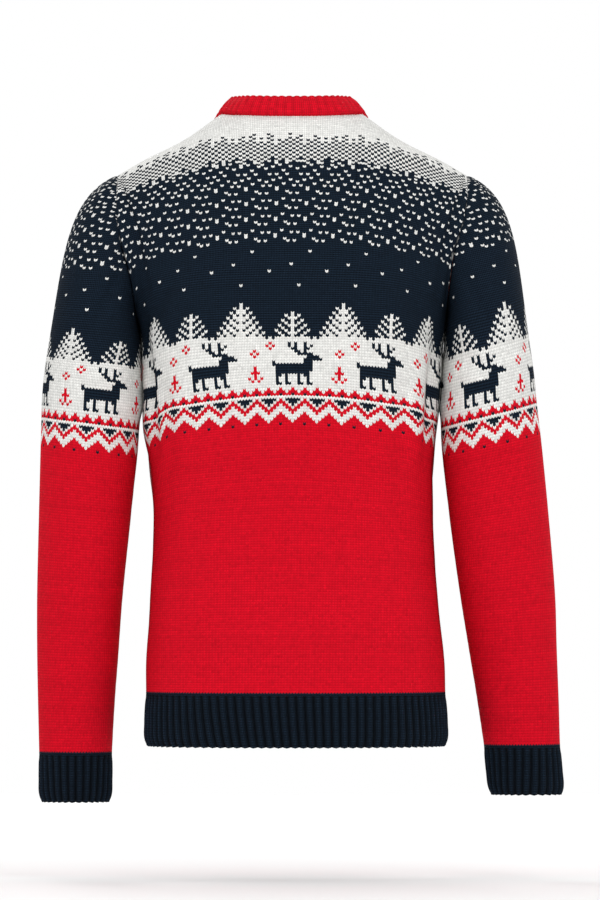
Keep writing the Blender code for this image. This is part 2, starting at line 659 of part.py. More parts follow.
back_neckline = panel(jumper, "back_panel", 1, RED)
front_neckline = panel(jumper, "front_panel", -1, RED)
sleeve(jumper, "left_sleeve", 1, RED)
sleeve(jumper, "right_sleeve", -1, RED)
hem_rib(jumper, "back_hem_rib", 1)
hem_rib(jumper, "front_hem_rib", -1)
cuff(jumper, "left_cuff", 1)
cuff(jumper, "right_cuff", -1)
neckband(jumper, "neckband", back_neckline, front_neckline)
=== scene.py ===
"""Looks of a men's crew-neck Christmas jumper, knitted in three yarns and filled out as when worn.

The wearer faces -Y and the wearer's left is +X. Every piece lies on the form of its CAD node: the
stitches, ribs, creases and seams are laid over the same body, armholes and arms.
"""

import math
from collections import namedtuple

import bpy
import mathutils
import numpy as np
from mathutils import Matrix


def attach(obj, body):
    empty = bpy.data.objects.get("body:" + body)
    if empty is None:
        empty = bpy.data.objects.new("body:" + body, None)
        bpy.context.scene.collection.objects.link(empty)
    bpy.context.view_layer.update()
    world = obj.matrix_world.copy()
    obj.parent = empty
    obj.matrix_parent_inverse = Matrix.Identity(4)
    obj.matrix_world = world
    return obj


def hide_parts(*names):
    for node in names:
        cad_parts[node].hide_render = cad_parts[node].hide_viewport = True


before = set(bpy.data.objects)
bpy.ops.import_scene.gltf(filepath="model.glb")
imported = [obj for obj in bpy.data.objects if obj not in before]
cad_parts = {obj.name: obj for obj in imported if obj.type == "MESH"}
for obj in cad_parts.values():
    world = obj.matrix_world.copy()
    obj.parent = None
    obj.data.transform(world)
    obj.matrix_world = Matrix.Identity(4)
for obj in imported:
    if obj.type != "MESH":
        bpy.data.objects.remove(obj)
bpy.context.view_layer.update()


# ---------------------------------------------------------------------------------------------
# Back panel
# The back is one piece of stocking stitch, knitted upwards from the hem in red, white and navy
# yarn. The colours are worked in row by row from a chart, and the unused yarns float behind.
# ---------------------------------------------------------------------------------------------


def rows_of(kind, *rows):
    """A table whose rows all hold the same named values."""
    return tuple(kind(*row) for row in rows)


# The form that the body is filled out to: reach to the wearer's left and right, back and front
HEM_SEAM_Z = -0.619
CHEST_Z = -0.240
CHEST_PULL = 0.42
CHEST_HALF_GIRTH = 0.232
BACK_NECK_END = 0.274
FRONT_NECK_END = 0.380
SHOULDER_END = 0.678
BodySection = namedtuple("BodySection", "z left right back front squareness")
BODY_SECTIONS = rows_of(
    BodySection,
    (-0.676, 0.1580, 0.1670, 0.120, 0.110, 2.35),
    (-0.619, 0.1570, 0.1650, 0.118, 0.108, 2.35),
    (-0.584, 0.1570, 0.1640, 0.114, 0.107, 2.35),
    (-0.529, 0.1530, 0.1580, 0.106, 0.104, 2.35),
    (-0.474, 0.1510, 0.1540, 0.098, 0.101, 2.35),
    (-0.426, 0.1490, 0.1510, 0.096, 0.100, 2.35),
    (-0.385, 0.1510, 0.1500, 0.098, 0.102, 2.35),
    (-0.354, 0.1550, 0.1530, 0.101, 0.106, 2.35),
    (-0.307, 0.1600, 0.1590, 0.106, 0.113, 2.40),
    (-0.281, 0.1610, 0.1610, 0.109, 0.117, 2.45),
    (-0.240, 0.1630, 0.1640, 0.112, 0.122, 2.50),
    (-0.203, 0.1670, 0.1665, 0.114, 0.125, 2.55),
)

# The top edge of each half panel, and the way that the cloth runs into it
EdgePoint = namedtuple("EdgePoint", "across left_x right_x y z to_x to_y to_z pull")
BACK_NECKLINE = rows_of(
    EdgePoint,
    (0.000, 0.000, 0.0000, 0.060, 0.0040, 0.00, -0.55, 0.83, 0.30),
    (0.100, 0.028, 0.0280, 0.057, 0.0043, 0.00, -0.58, 0.80, 0.30),
    (0.200, 0.055, 0.0550, 0.045, 0.0055, 0.00, -0.72, 0.62, 0.28),
    (0.274, 0.076, 0.0755, 0.016, 0.0070, 0.00, -1.00, 0.03, 0.25),
)
BACK_SHOULDER = rows_of(
    EdgePoint,
    (0.274, 0.076, 0.0755, 0.016, 0.0070, 0.00, -1.00, 0.03, 0.27),
    (0.415, 0.115, 0.1150, 0.010, -0.0205, 0.00, -1.00, 0.00, 0.31),
    (0.577, 0.160, 0.1600, 0.003, -0.0430, 0.04, -1.00, 0.00, 0.35),
    (0.678, 0.188, 0.1885, 0.000, -0.0590, 0.10, -0.98, 0.00, 0.36),
)
BACK_ARMHOLE = rows_of(
    EdgePoint,
    (0.678, 0.1880, 0.1885, 0.000, -0.059, 0.10, -0.98, 0.00, 0.36),
    (0.720, 0.1885, 0.1890, 0.024, -0.066, 0.35, -0.80, 0.48, 0.28),
    (0.765, 0.1890, 0.1885, 0.042, -0.086, 0.42, -0.66, 0.62, 0.24),
    (0.810, 0.1880, 0.1840, 0.053, -0.110, 0.46, -0.50, 0.73, 0.22),
    (0.855, 0.1830, 0.1755, 0.057, -0.136, 0.44, -0.38, 0.81, 0.22),
    (0.900, 0.1755, 0.1715, 0.052, -0.162, 0.34, -0.26, 0.90, 0.24),
    (0.950, 0.1700, 0.1680, 0.034, -0.189, 0.18, -0.12, 0.97, 0.28),
    (1.000, 0.1670, 0.1665, 0.000, -0.203, 0.06, 0.00, 1.00, 0.33),
)
FRONT_NECKLINE = rows_of(
    EdgePoint,
    (0.000, 0.000, 0.0000, -0.086, -0.0840, 0.00, 0.38, 0.93, 0.30),
    (0.120, 0.037, 0.0370, -0.080, -0.0760, -0.08, 0.42, 0.91, 0.30),
    (0.240, 0.067, 0.0670, -0.061, -0.0540, -0.18, 0.44, 0.88, 0.28),
    (0.320, 0.081, 0.0805, -0.034, -0.0270, -0.28, 0.58, 0.77, 0.25),
    (0.355, 0.083, 0.0820, -0.008, -0.0060, -0.34, 0.70, 0.62, 0.25),
    (0.380, 0.076, 0.0755, 0.016, 0.0070, -0.38, 0.93, 0.30, 0.27),
)
FRONT_SHOULDER = rows_of(
    EdgePoint,
    (0.380, 0.076, 0.0755, 0.016, 0.0070, -0.38, 0.93, 0.30, 0.27),
    (0.484, 0.115, 0.1150, 0.010, -0.0205, -0.17, 0.98, 0.11, 0.31),
    (0.6035, 0.160, 0.1600, 0.003, -0.0430, -0.02, 1.00, 0.02, 0.35),
    (0.678, 0.188, 0.1885, 0.000, -0.0590, 0.10, 0.98, 0.00, 0.36),
)
FRONT_ARMHOLE = rows_of(
    EdgePoint,
    (0.678, 0.1880, 0.1885, 0.000, -0.059, 0.10, 0.98, 0.00, 0.36),
    (0.720, 0.1865, 0.1870, -0.024, -0.067, 0.35, 0.80, 0.48, 0.28),
    (0.765, 0.1835, 0.1830, -0.043, -0.088, 0.42, 0.66, 0.62, 0.24),
    (0.810, 0.1790, 0.1775, -0.056, -0.113, 0.46, 0.50, 0.73, 0.22),
    (0.855, 0.1745, 0.1735, -0.061, -0.139, 0.44, 0.38, 0.81, 0.22),
    (0.900, 0.1715, 0.1710, -0.056, -0.164, 0.34, 0.26, 0.90, 0.24),
    (0.950, 0.1690, 0.1680, -0.036, -0.190, 0.18, 0.12, 0.97, 0.28),
    (1.000, 0.1670, 0.1665, 0.000, -0.203, 0.06, 0.00, 1.00, 0.33),
)

# The deepest folds, which the CAD node has too: panel (+1 back, -1 front), place and size
Fold = namedtuple("Fold", "side across top bottom width depth")
BODY_FOLDS = rows_of(
    Fold,
    (1, 0.800, -0.215, -0.380, 0.011, 0.0075),
    (1, -0.770, -0.225, -0.400, 0.012, 0.0070),
    (-1, 0.790, -0.220, -0.370, 0.012, 0.0070),
    (-1, -0.800, -0.215, -0.390, 0.011, 0.0065),
)
# Half the girth turns a fold's place across into metres. A fold is deepest a little above its
# middle, and comes on quickly at its ends
FOLD_HALF_GIRTH = 0.230
FOLD_SKEW = 1.4
FOLD_FULLNESS = 0.8
OVAL_PLACES = 361


def smooth_between(xs, ys, at):
    """Read a smooth curve through the points (xs, ys) at the places in `at`."""
    xs = np.asarray(xs, float)
    ys = np.asarray(ys, float)
    at = np.clip(np.asarray(at, float), xs[0], xs[-1])
    chords = np.diff(ys) / np.diff(xs)
    slopes = np.concatenate(([chords[0]], (chords[1:] + chords[:-1]) / 2, [chords[-1]]))
    span = np.clip(np.searchsorted(xs, at) - 1, 0, len(xs) - 2)
    width = xs[span + 1] - xs[span]
    t = (at - xs[span]) / width
    rise = (3 - 2 * t) * t * t
    return (ys[span] * (1 - rise) + ys[span + 1] * rise
            + width * slopes[span] * t * (1 - t) ** 2
            - width * slopes[span + 1] * t * t * (1 - t))


def column(rows, name, at, along):
    """Read one named column of a table, smoothly, against the column `along`."""
    return smooth_between([getattr(row, along) for row in rows],
                          [getattr(row, name) for row in rows], at)


def unit(vectors):
    """Scale vectors to length 1."""
    return vectors / np.maximum(np.linalg.norm(vectors, axis=-1, keepdims=True), 1e-12)


def ease(value, start, end):
    """Rise smoothly from 0 at start to 1 at end."""
    t = np.clip((value - start) / (end - start), 0, 1)
    return t * t * (3 - 2 * t)


def half_oval(across, squareness, ratio):
    """Places on a half oval of width 1 and depth `ratio`, spread evenly along its length."""
    turn = np.linspace(-math.pi / 2, math.pi / 2, OVAL_PLACES)
    power = 2 / squareness
    x = np.sign(turn) * np.abs(np.sin(turn)) ** power
    y = np.abs(np.cos(turn)) ** power
    length = np.concatenate(([0], np.cumsum(np.hypot(np.diff(x), ratio * np.diff(y)))))
    place = (np.asarray(across) + 1) / 2 * length[-1]
    return np.interp(place, length, x), np.interp(place, length, y)


def fold_depth(side, across, z):
    """How far the deepest folds draw a body section in."""
    depth = np.zeros(len(across))
    for fold in BODY_FOLDS:
        if fold.side != side or not fold.bottom < z < fold.top:
            continue
        along = (z - fold.bottom) / (fold.top - fold.bottom)
        strength = math.sin(math.pi * along ** FOLD_SKEW) ** FOLD_FULLNESS
        away = (across - fold.across) * FOLD_HALF_GIRTH / fold.width
        depth += fold.depth * strength * np.exp(-away ** 2)
    return depth


def torso_ring(side, across, z):
    """One section of the filled-out body; side is +1 behind the side seams and -1 before them."""
    left, right, back, front, squareness = (
        float(column(BODY_SECTIONS, name, z, "z"))
        for name in ("left", "right", "back", "front", "squareness"))
    depth = back if side > 0 else front
    half = (left + right) / 2
    x, y = half_oval(across, squareness, depth / half)
    points = np.stack([(left - right) / 2 + half * x, side * depth * y,
                       np.full_like(x, z)], axis=-1)
    inward = unit(np.array([(left - right) / 2, 0.0, z]) - points)
    return points + inward * fold_depth(side, across, z)[:, None]


def torso_reach(hand, z):
    """How far the side seam stands from the middle of the body."""
    return float(column(BODY_SECTIONS, "left" if hand > 0 else "right", z, "z"))


# Keeps a place that ends a table inside it
JUST_INSIDE = 1 - 1e-9


def top_edge(side, across):
    """The top edge of a panel, the way that the cloth runs into it, and its pull."""
    neck_end, tables = ((BACK_NECK_END, (BACK_NECKLINE, BACK_SHOULDER, BACK_ARMHOLE)) if side > 0
                        else (FRONT_NECK_END, (FRONT_NECKLINE, FRONT_SHOULDER, FRONT_ARMHOLE)))
    points = np.zeros((len(across), 3))
    ways = np.zeros((len(across), 3))
    pulls = np.zeros(len(across))
    for n, place in enumerate(across):
        run = 0 if abs(place) < neck_end else 1 if abs(place) < SHOULDER_END else 2
        hand = 1 if place >= 0 else -1
        x, y, z, to_x, to_y, to_z, pulls[n] = (
            float(column(tables[run], name, abs(place), "across"))
            for name in ("left_x" if hand > 0 else "right_x", "y", "z",
                         "to_x", "to_y", "to_z", "pull"))
        points[n] = (hand * x, y, z)
        ways[n] = (hand * to_x, to_y, to_z)
    return points, unit(ways), pulls


def bezier(start, start_handle, end_handle, end, t):
    """Points of cubic curves at share t; past 1 they run straight on."""
    inside = min(t, 1.0)
    point = ((1 - inside) ** 3 * start + 3 * inside * (1 - inside) ** 2 * start_handle
             + 3 * inside ** 2 * (1 - inside) * end_handle + inside ** 3 * end)
    return point + (t - inside) * 3 * (end - end_handle)


# A cloth is a net of places: `across` runs to the right as seen from outside, `up` from its lower
# seam (0) past the chest or the bicep (1) to its top edge (2). Both run a little past the edges,
# where the knitting is cut
Cloth = namedtuple("Cloth", "across up points height edges top_reach girth")
PANEL_COLUMNS = 241
LOWER_LEVELS, UPPER_LEVELS, LEVELS_PAST = 61, 71, 9
PAST_SEAM = 0.02
PAST_EDGE = 0.14
NET_LEVELS = np.concatenate([
    np.linspace(-PAST_SEAM, 1, LOWER_LEVELS + 1)[:-1], np.linspace(1, 2, UPPER_LEVELS + 1)[:-1],
    np.linspace(2, 2 + PAST_EDGE, LEVELS_PAST)])
# How far below a section another one shows which way the cloth runs there
A_LITTLE_LOWER = 0.01


def cloth_net(across, ring, low_z, high_z, curve, edges, girth):
    """A cloth that follows ring(z) from low_z to high_z, and from there on the given curves.

    A curve is its start, its two handles and its end. The height of a place is its z up to high_z,
    and above that it is measured along the cloth.
    """
    points = np.array([ring(low_z + level * (high_z - low_z)) if level <= 1
                       else bezier(*curve, level - 1) for level in NET_LEVELS])
    height = points[:, :, 2].copy()
    first = np.searchsorted(NET_LEVELS, 1.0)
    steps = np.linalg.norm(np.diff(points[first:], axis=0), axis=2)
    height[first + 1:] = high_z + np.cumsum(steps, axis=0)
    top_reach = np.sum(steps[:1 - LEVELS_PAST], axis=0)
    return Cloth(across, NET_LEVELS, points, height, edges, top_reach, girth)


def panel_cloth(side):
    """The net of the back or the front."""
    across = np.linspace(side, -side, PANEL_COLUMNS)
    chest = torso_ring(side, across, CHEST_Z)
    rising = unit(chest - torso_ring(side, across, CHEST_Z - A_LITTLE_LOWER))
    edge, way, pull = top_edge(side, across)
    chord = np.linalg.norm(edge - chest, axis=1)[:, None]
    curve = (chest, chest + CHEST_PULL * chord * rising, edge - pull[:, None] * chord * way, edge)
    return cloth_net(across, lambda z: torso_ring(side, across, z), HEM_SEAM_Z, CHEST_Z, curve,
                     ((side, -side), (0.0, 2.0)), 2 * CHEST_HALF_GIRTH)


# Rows of knitting: the height that each named row reaches up the middle of the piece
RowMark = namedtuple("RowMark", "height row")
BODY_ROWS = rows_of(
    RowMark,
    (-0.6400, -7.7),
    (-0.3260, 108.0),
    (-0.2971, 118.0),
    (-0.2372, 139.0),
    (-0.2063, 150.5),
    (-0.1803, 162.0),
    (-0.1575, 171.0),
    (-0.1434, 177.0),
    (-0.1276, 184.0),
    (-0.1094, 192.0),
    (-0.0920, 200.0),
    (-0.0756, 208.0),
    (-0.0386, 225.0),
    (-0.0210, 232.0),
    (0.0087, 244.0),
    (0.0800, 271.0),
)

# How far the rows sag towards the sides, in millimetres, at these shares of the way there
SAG_SHARES = (0.0, 0.20, 0.35, 0.50, 0.65, 0.80, 1.00)
Sag = namedtuple("Sag", "height middle at_20 at_35 at_50 at_65 at_80 at_side")
MILLIMETRE = 0.001
BODY_SAG = rows_of(
    Sag,
    (-0.619, 0, 0.0, 0.0, 0.0, 0.0, 0.0, 0.0),
    (-0.450, 0, 1.0, 2.0, 3.5, 5.3, 8.2, 11.0),
    (-0.330, 0, 2.0, 5.0, 8.5, 12.5, 24.5, 31.5),
    (-0.297, 0, 1.8, 5.0, 9.2, 14.5, 25.0, 32.5),
    (-0.236, 0, 0.0, 0.8, 2.8, 9.5, 16.0, 22.0),
    (-0.206, 0, 0.0, 0.8, 3.5, 12.0, 20.0, 26.0),
    (-0.180, 0, 0.5, 1.8, 5.2, 12.0, 21.0, 28.0),
    (-0.160, 0, 0.7, 2.0, 6.2, 14.0, 23.0, 30.0),
    (-0.143, 0, 1.3, 4.0, 9.8, 18.0, 25.5, 32.0),
    (-0.128, 0, 1.2, 3.5, 10.8, 20.7, 27.0, 33.0),
    (-0.076, 0, 1.2, 3.3, 11.3, 21.7, 27.5, 33.0),
    (-0.039, 0, 1.0, 3.7, 12.0, 23.0, 31.0, 38.0),
    (-0.021, 0, 0.0, 0.0, 6.0, 14.0, 20.0, 26.0),
    (0.080, 0, 0.0, 0.0, 6.0, 14.0, 20.0, 26.0),
)


def panel_row_numbers(cloth):
    """The row of knitting at each place of a panel's net."""
    level = cloth.height.copy()
    for name, marker in zip(Sag._fields[1:], np.eye(len(SAG_SHARES))):
        weight = smooth_between(SAG_SHARES, marker, np.abs(cloth.across))
        level += weight * column(BODY_SAG, name, cloth.height, "height") * MILLIMETRE
    return np.interp(level, [m.height for m in BODY_ROWS], [m.row for m in BODY_ROWS])


# Stitches: a row has this many from seam to seam up to the armholes. They widen with the body and
# towards the shoulders, and their columns lean a little
PANEL_STITCHES = 136
ARMHOLE_ROW = 154.0
PANEL_TURN = 40.0
StitchRow = namedtuple("StitchRow", "row width lean bow spread")
STITCH_ROWS = rows_of(
    StitchRow,
    (-10.0, 0.003200, 0.40, 0.0, 0.10),
    (107.0, 0.003200, 0.40, -4.6, 0.24),
    (118.0, 0.003230, 0.40, -4.0, 0.22),
    (128.0, 0.003330, 0.10, -1.0, 0.10),
    (141.0, 0.003430, 0.00, 3.0, 0.00),
    (162.0, 0.003430, 0.00, 0.0, 0.00),
    (168.0, 0.003430, -0.20, 0.0, 0.00),
    (172.0, 0.003434, -0.40, 0.0, 0.00),
    (177.0, 0.003434, -0.50, 0.0, 0.00),
    (184.0, 0.003445, -0.37, 0.0, 0.00),
    (192.0, 0.003500, -0.13, 0.0, 0.00),
    (200.0, 0.003560, 0.20, 0.0, 0.00),
    (208.0, 0.003645, 0.49, 0.0, 0.00),
    (229.0, 0.003820, 0.50, 0.0, 0.00),
    (234.0, 0.003860, 0.50, 0.0, 0.00),
)


def panel_stitch_count(level, run):
    """How many stitches lie between the middle of a panel and each place along a row."""
    width, lean, bow, spread = (float(column(STITCH_ROWS, name, level, "row"))
                                for name in ("width", "lean", "bow", "spread"))
    if level < ARMHOLE_ROW:
        half = PANEL_STITCHES / 2
        end = np.where(run < 0, -run[0], run[-1])
        place = run / end
        full = end / (half * width)
        count = half * (full * place + (1 - full - spread * (1 - place ** 4)) * place ** 3)
        return count + (bow * place ** 2 - lean) * (1 - place ** 2)
    return run / width - lean + PANEL_TURN * run ** 2


# Soft creases, laid over the cloth as shallow troughs (depth below 0) and ridges (above 0):
# the middle of each, the way it runs (degrees from level, up to the right), and its size
Crease = namedtuple("Crease", "x z turn length width depth")
BACK_CREASES = rows_of(
    Crease,
    (-0.172, -0.228, 88, 0.036, 0.014, 0.0022),
    (-0.146, -0.205, 62, 0.060, 0.010, -0.0032),
    (-0.128, -0.200, 55, 0.050, 0.009, 0.0022),
    (-0.152, -0.300, 86, 0.080, 0.007, 0.0034),
    (-0.134, -0.335, 96, 0.085, 0.010, -0.0036),
    (-0.112, -0.300, 78, 0.070, 0.014, 0.0014),
    (0.140, -0.215, -64, 0.055, 0.010, -0.0030),
    (0.120, -0.212, -54, 0.050, 0.010, 0.0020),
    (0.134, -0.325, -86, 0.085, 0.008, 0.0036),
    (0.116, -0.345, -94, 0.080, 0.010, -0.0036),
    (0.096, -0.320, -82, 0.070, 0.014, 0.0014),
    (-0.060, -0.430, 30, 0.110, 0.020, -0.0014),
    (0.055, -0.455, -24, 0.100, 0.022, -0.0013),
    (-0.020, -0.505, 14, 0.120, 0.018, 0.0012),
    (0.090, -0.540, 68, 0.090, 0.022, -0.0014),
    (-0.095, -0.560, -70, 0.080, 0.020, -0.0013),
    (0.155, -0.110, -74, 0.040, 0.009, -0.0016),
    (-0.158, -0.105, 76, 0.040, 0.009, -0.0016),
    (0.060, -0.050, -24, 0.060, 0.014, 0.0010),
    (-0.066, -0.055, 22, 0.060, 0.014, 0.0010),
)
CREASE_BEND = 0.12


def crease_lift(creases, x, z):
    """How far the soft creases lift the cloth at (x, z), where x runs to the right."""
    lift = np.zeros_like(x)
    for crease in creases:
        turn = math.radians(crease.turn)
        along = (x - crease.x) * math.cos(turn) + (z - crease.z) * math.sin(turn)
        aside = (z - crease.z) * math.cos(turn) - (x - crease.x) * math.sin(turn)
        bend = aside - CREASE_BEND * along ** 2 / crease.length
        lift += crease.depth * np.exp(-(bend / crease.width) ** 2 - (along / crease.length) ** 2)
    return lift


# The columns of a knitted net's table: a point, its normal, its place in the cloth's net, and its
# place in the knitting
X, Z = 0, 2
POINT, NORMAL = slice(0, 3), slice(3, 6)
ACROSS, UP, STITCH, ROW, NET_WIDTH = 6, 7, 8, 9, 10

# Where a piece is sewn to the next one, its edge turns in
SEAM_DIP = 0.0011
SEAM_DIP_WIDTH = 0.0030
SIDE_SEAM_DIP = 0.0006


def seam_lift(cloth, net):
    """How far a cloth dips along its seams."""
    order = np.argsort(cloth.across)
    reach = np.interp(net[..., ACROSS], cloth.across[order], cloth.top_reach[order])
    (left, right), (_, top) = cloth.edges
    from_top = (top - net[..., UP]) * reach
    from_side = np.minimum(np.abs(net[..., ACROSS] - left), np.abs(net[..., ACROSS] - right))
    from_side *= cloth.girth / abs(left - right)
    return -(SEAM_DIP * np.exp(-(from_top / SEAM_DIP_WIDTH) ** 2)
             + SIDE_SEAM_DIP * np.exp(-(from_side / SEAM_DIP_WIDTH) ** 2))


# The knitting itself: its wall, and how far its columns of stitches stand out from the form
WALL = 0.0022
LIE = 0.0002
COLUMN_RISE = 0.0005
INNER_STITCHES = 2
INNER_HALF_ROWS = 6
# Stitches past either side of a piece, so that its rows reach its seams where they are widest, and
# rows below its lower seam
SPARE_STITCHES = 6
SPARE_ROWS = 2
# Edges of its cloth sharper than this stay sharp, in degrees
SHARP_TURN = 60
# What counts as touching an edge, as standing still, and as the same point (decimals of a metre)
TOUCHING = 1e-9
STILL = 1e-7
SAME_POINT = 6


def read_row(columns, count, source):
    """Read a row at its columns of stitches, and run on straight past the ends of the row."""
    value = np.interp(columns, count, source)
    for end, inner, past in ((0, 1, np.minimum(columns - count[0], 0)),
                             (-1, -2, np.maximum(columns - count[-1], 0))):
        value += past * (source[end] - source[inner]) / (count[end] - count[inner])
    return value


def knitted_net(cloth, row_numbers, levels, columns, stitch_count):
    """Where columns of stitches cross levels of rows, as a table for each level and column."""
    net_columns = len(cloth.across)
    curves = np.zeros((len(levels), net_columns, 3))
    ups = np.zeros((len(levels), net_columns))
    order = np.arange(len(cloth.up)) * TOUCHING
    for j in range(net_columns):
        rising = np.maximum.accumulate(row_numbers[:, j]) + order
        ups[:, j] = np.interp(levels, rising, cloth.up)
        for k in range(3):
            curves[:, j, k] = np.interp(levels, rising, cloth.points[:, j, k])
    upwards = np.gradient(curves, axis=0)
    still = np.linalg.norm(upwards, axis=2, keepdims=True) < STILL
    upwards = np.where(still, np.array([0.0, 0.0, 1.0]), upwards)
    normals = unit(np.cross(np.gradient(curves, axis=1), upwards))

    steps = np.linalg.norm(np.diff(curves, axis=1), axis=2)
    run = np.concatenate([np.zeros((len(levels), 1)), np.cumsum(steps, axis=1)], axis=1)
    run -= run[:, [net_columns // 2]]
    table = np.zeros((len(levels), len(columns), NET_WIDTH))
    for m, level in enumerate(levels):
        count = stitch_count(level, run[m])
        sources = list(curves[m].T) + list(normals[m].T) + [cloth.across, ups[m]]
        for k, source in enumerate(sources):
            table[m, :, k] = read_row(columns, count, source)
    table[..., NORMAL] = unit(table[..., NORMAL])
    table[..., STITCH] = columns
    table[..., ROW] = np.asarray(levels)[:, None]
    return table


def cut_polygon(corners, place, sign, limit):
    """Keep the part of a polygon on one side of an edge of the cloth."""
    kept = []
    for here, there in zip(corners, corners[1:] + corners[:1]):
        depth = sign * (here[place] - limit)
        beyond = sign * (there[place] - limit)
        if depth >= -TOUCHING:
            kept.append(here)
        if (depth >= -TOUCHING) != (beyond >= -TOUCHING):
            kept.append(here + (there - here) * depth / (depth - beyond))
    return kept


def cut_to_edges(net, edges):
    """Cut a net's faces to the edges of its cloth; gives the table, the faces and their quads."""
    index = np.arange(net[..., 0].size).reshape(net.shape[:2])
    quads = np.stack([index[:-1, :-1], index[:-1, 1:], index[1:, 1:], index[1:, :-1]],
                     axis=-1).reshape(-1, 4)
    table = net.reshape(-1, NET_WIDTH)
    limits = [(place, sign, edge) for place, pair in zip((ACROSS, UP), edges)
              for sign, edge in ((1, min(pair)), (-1, max(pair)))]
    depth = np.stack([sign * (table[:, k] - edge) for k, sign, edge in limits], axis=1)
    inside = (depth >= -TOUCHING)[quads]
    whole = inside.all(axis=(1, 2))
    gone = (~inside).all(axis=1).any(axis=1)
    rows = list(table)
    faces = quads[whole].tolist()
    sources = np.flatnonzero(whole).tolist()
    known = {}
    for n in np.flatnonzero(~whole & ~gone):
        for v in quads[n]:
            known.setdefault(tuple(np.round(table[v, POINT], SAME_POINT)), int(v))
        polygon = [table[v] for v in quads[n]]
        for place, sign, edge in limits:
            polygon = cut_polygon(polygon, place, sign, edge)
        ring = []
        for corner in polygon:
            key = tuple(np.round(corner[POINT], SAME_POINT))
            if key not in known:
                known[key] = len(rows)
                rows.append(corner)
            if known[key] not in ring:
                ring.append(known[key])
        if len(ring) > 2:
            faces.append(ring)
            sources.append(int(n))
    used = np.unique(np.concatenate([np.asarray(f) for f in faces]))
    fresh = np.zeros(len(rows), dtype=int)
    fresh[used] = np.arange(len(used))
    faces = [fresh[f].tolist() for f in faces]
    return np.array(rows)[used], faces, np.array(sources)


def free_edge(table, faces, edges):
    """The closed run of points round a cut net, and how far round each one is."""
    onward = {}
    for face in faces:
        for here, there in zip(face, face[1:] + face[:1]):
            if onward.get(there, {}).pop(here, None) is None:
                onward.setdefault(here, {})[there] = True
    onward = {here: list(there)[0] for here, there in onward.items() if there}
    loops = []
    while onward:
        here = next(iter(onward))
        loop = []
        while here in onward:
            loop.append(here)
            here = onward.pop(here)
        loops.append(loop)
    loop = np.array(max(loops, key=len))
    (left, right), (low, high) = edges
    along = (table[loop, ACROSS] - left) / (right - left)
    rise = (table[loop, UP] - low) / (high - low)
    nearest = np.argmin(np.stack([rise, 1 - along, 1 - rise, along]), axis=0)
    round_place = np.choose(nearest, [along, 1 + rise, 3 - along, 4 - rise])
    first = int(np.argmin(round_place))
    return np.roll(loop, -first), np.maximum.accumulate(np.roll(round_place, -first))


def close_rim(outer_run, inner_run):
    """Faces between the free edges of the outer and the inner side of a cloth."""
    (outer, outer_place), (inner, inner_place) = outer_run, inner_run
    i = j = 0
    faces = []
    while i < len(outer) or j < len(inner):
        o, n = int(outer[i % len(outer)]), int(inner[j % len(inner)])
        at_o = outer_place[i + 1] if i + 1 < len(outer) else 4.0 + (i >= len(outer))
        at_n = inner_place[j + 1] if j + 1 < len(inner) else 4.0 + (j >= len(inner))
        if j >= len(inner) or (i < len(outer) and at_o <= at_n):
            faces.append([int(outer[(i + 1) % len(outer)]), o, n])
            i += 1
        else:
            faces.append([n, int(inner[(j + 1) % len(inner)]), o])
            j += 1
    return faces


def mark_stitches(mesh, places, shades):
    """Give each corner of a mesh its place in the knitting and the colour of its yarn."""
    mesh.uv_layers.new(name="stitches").data.foreach_set(
        "uv", np.asarray(places, dtype=np.float32).ravel())
    mesh.color_attributes.new(name="yarn", type="FLOAT_COLOR", domain="CORNER").data.foreach_set(
        "color", np.asarray(shades, dtype=np.float32).ravel())


def put_in_scene(name, data):
    """An object with this mesh, light or camera, in the scene."""
    holder = bpy.data.objects.new(name, data)
    bpy.context.scene.collection.objects.link(holder)
    return holder


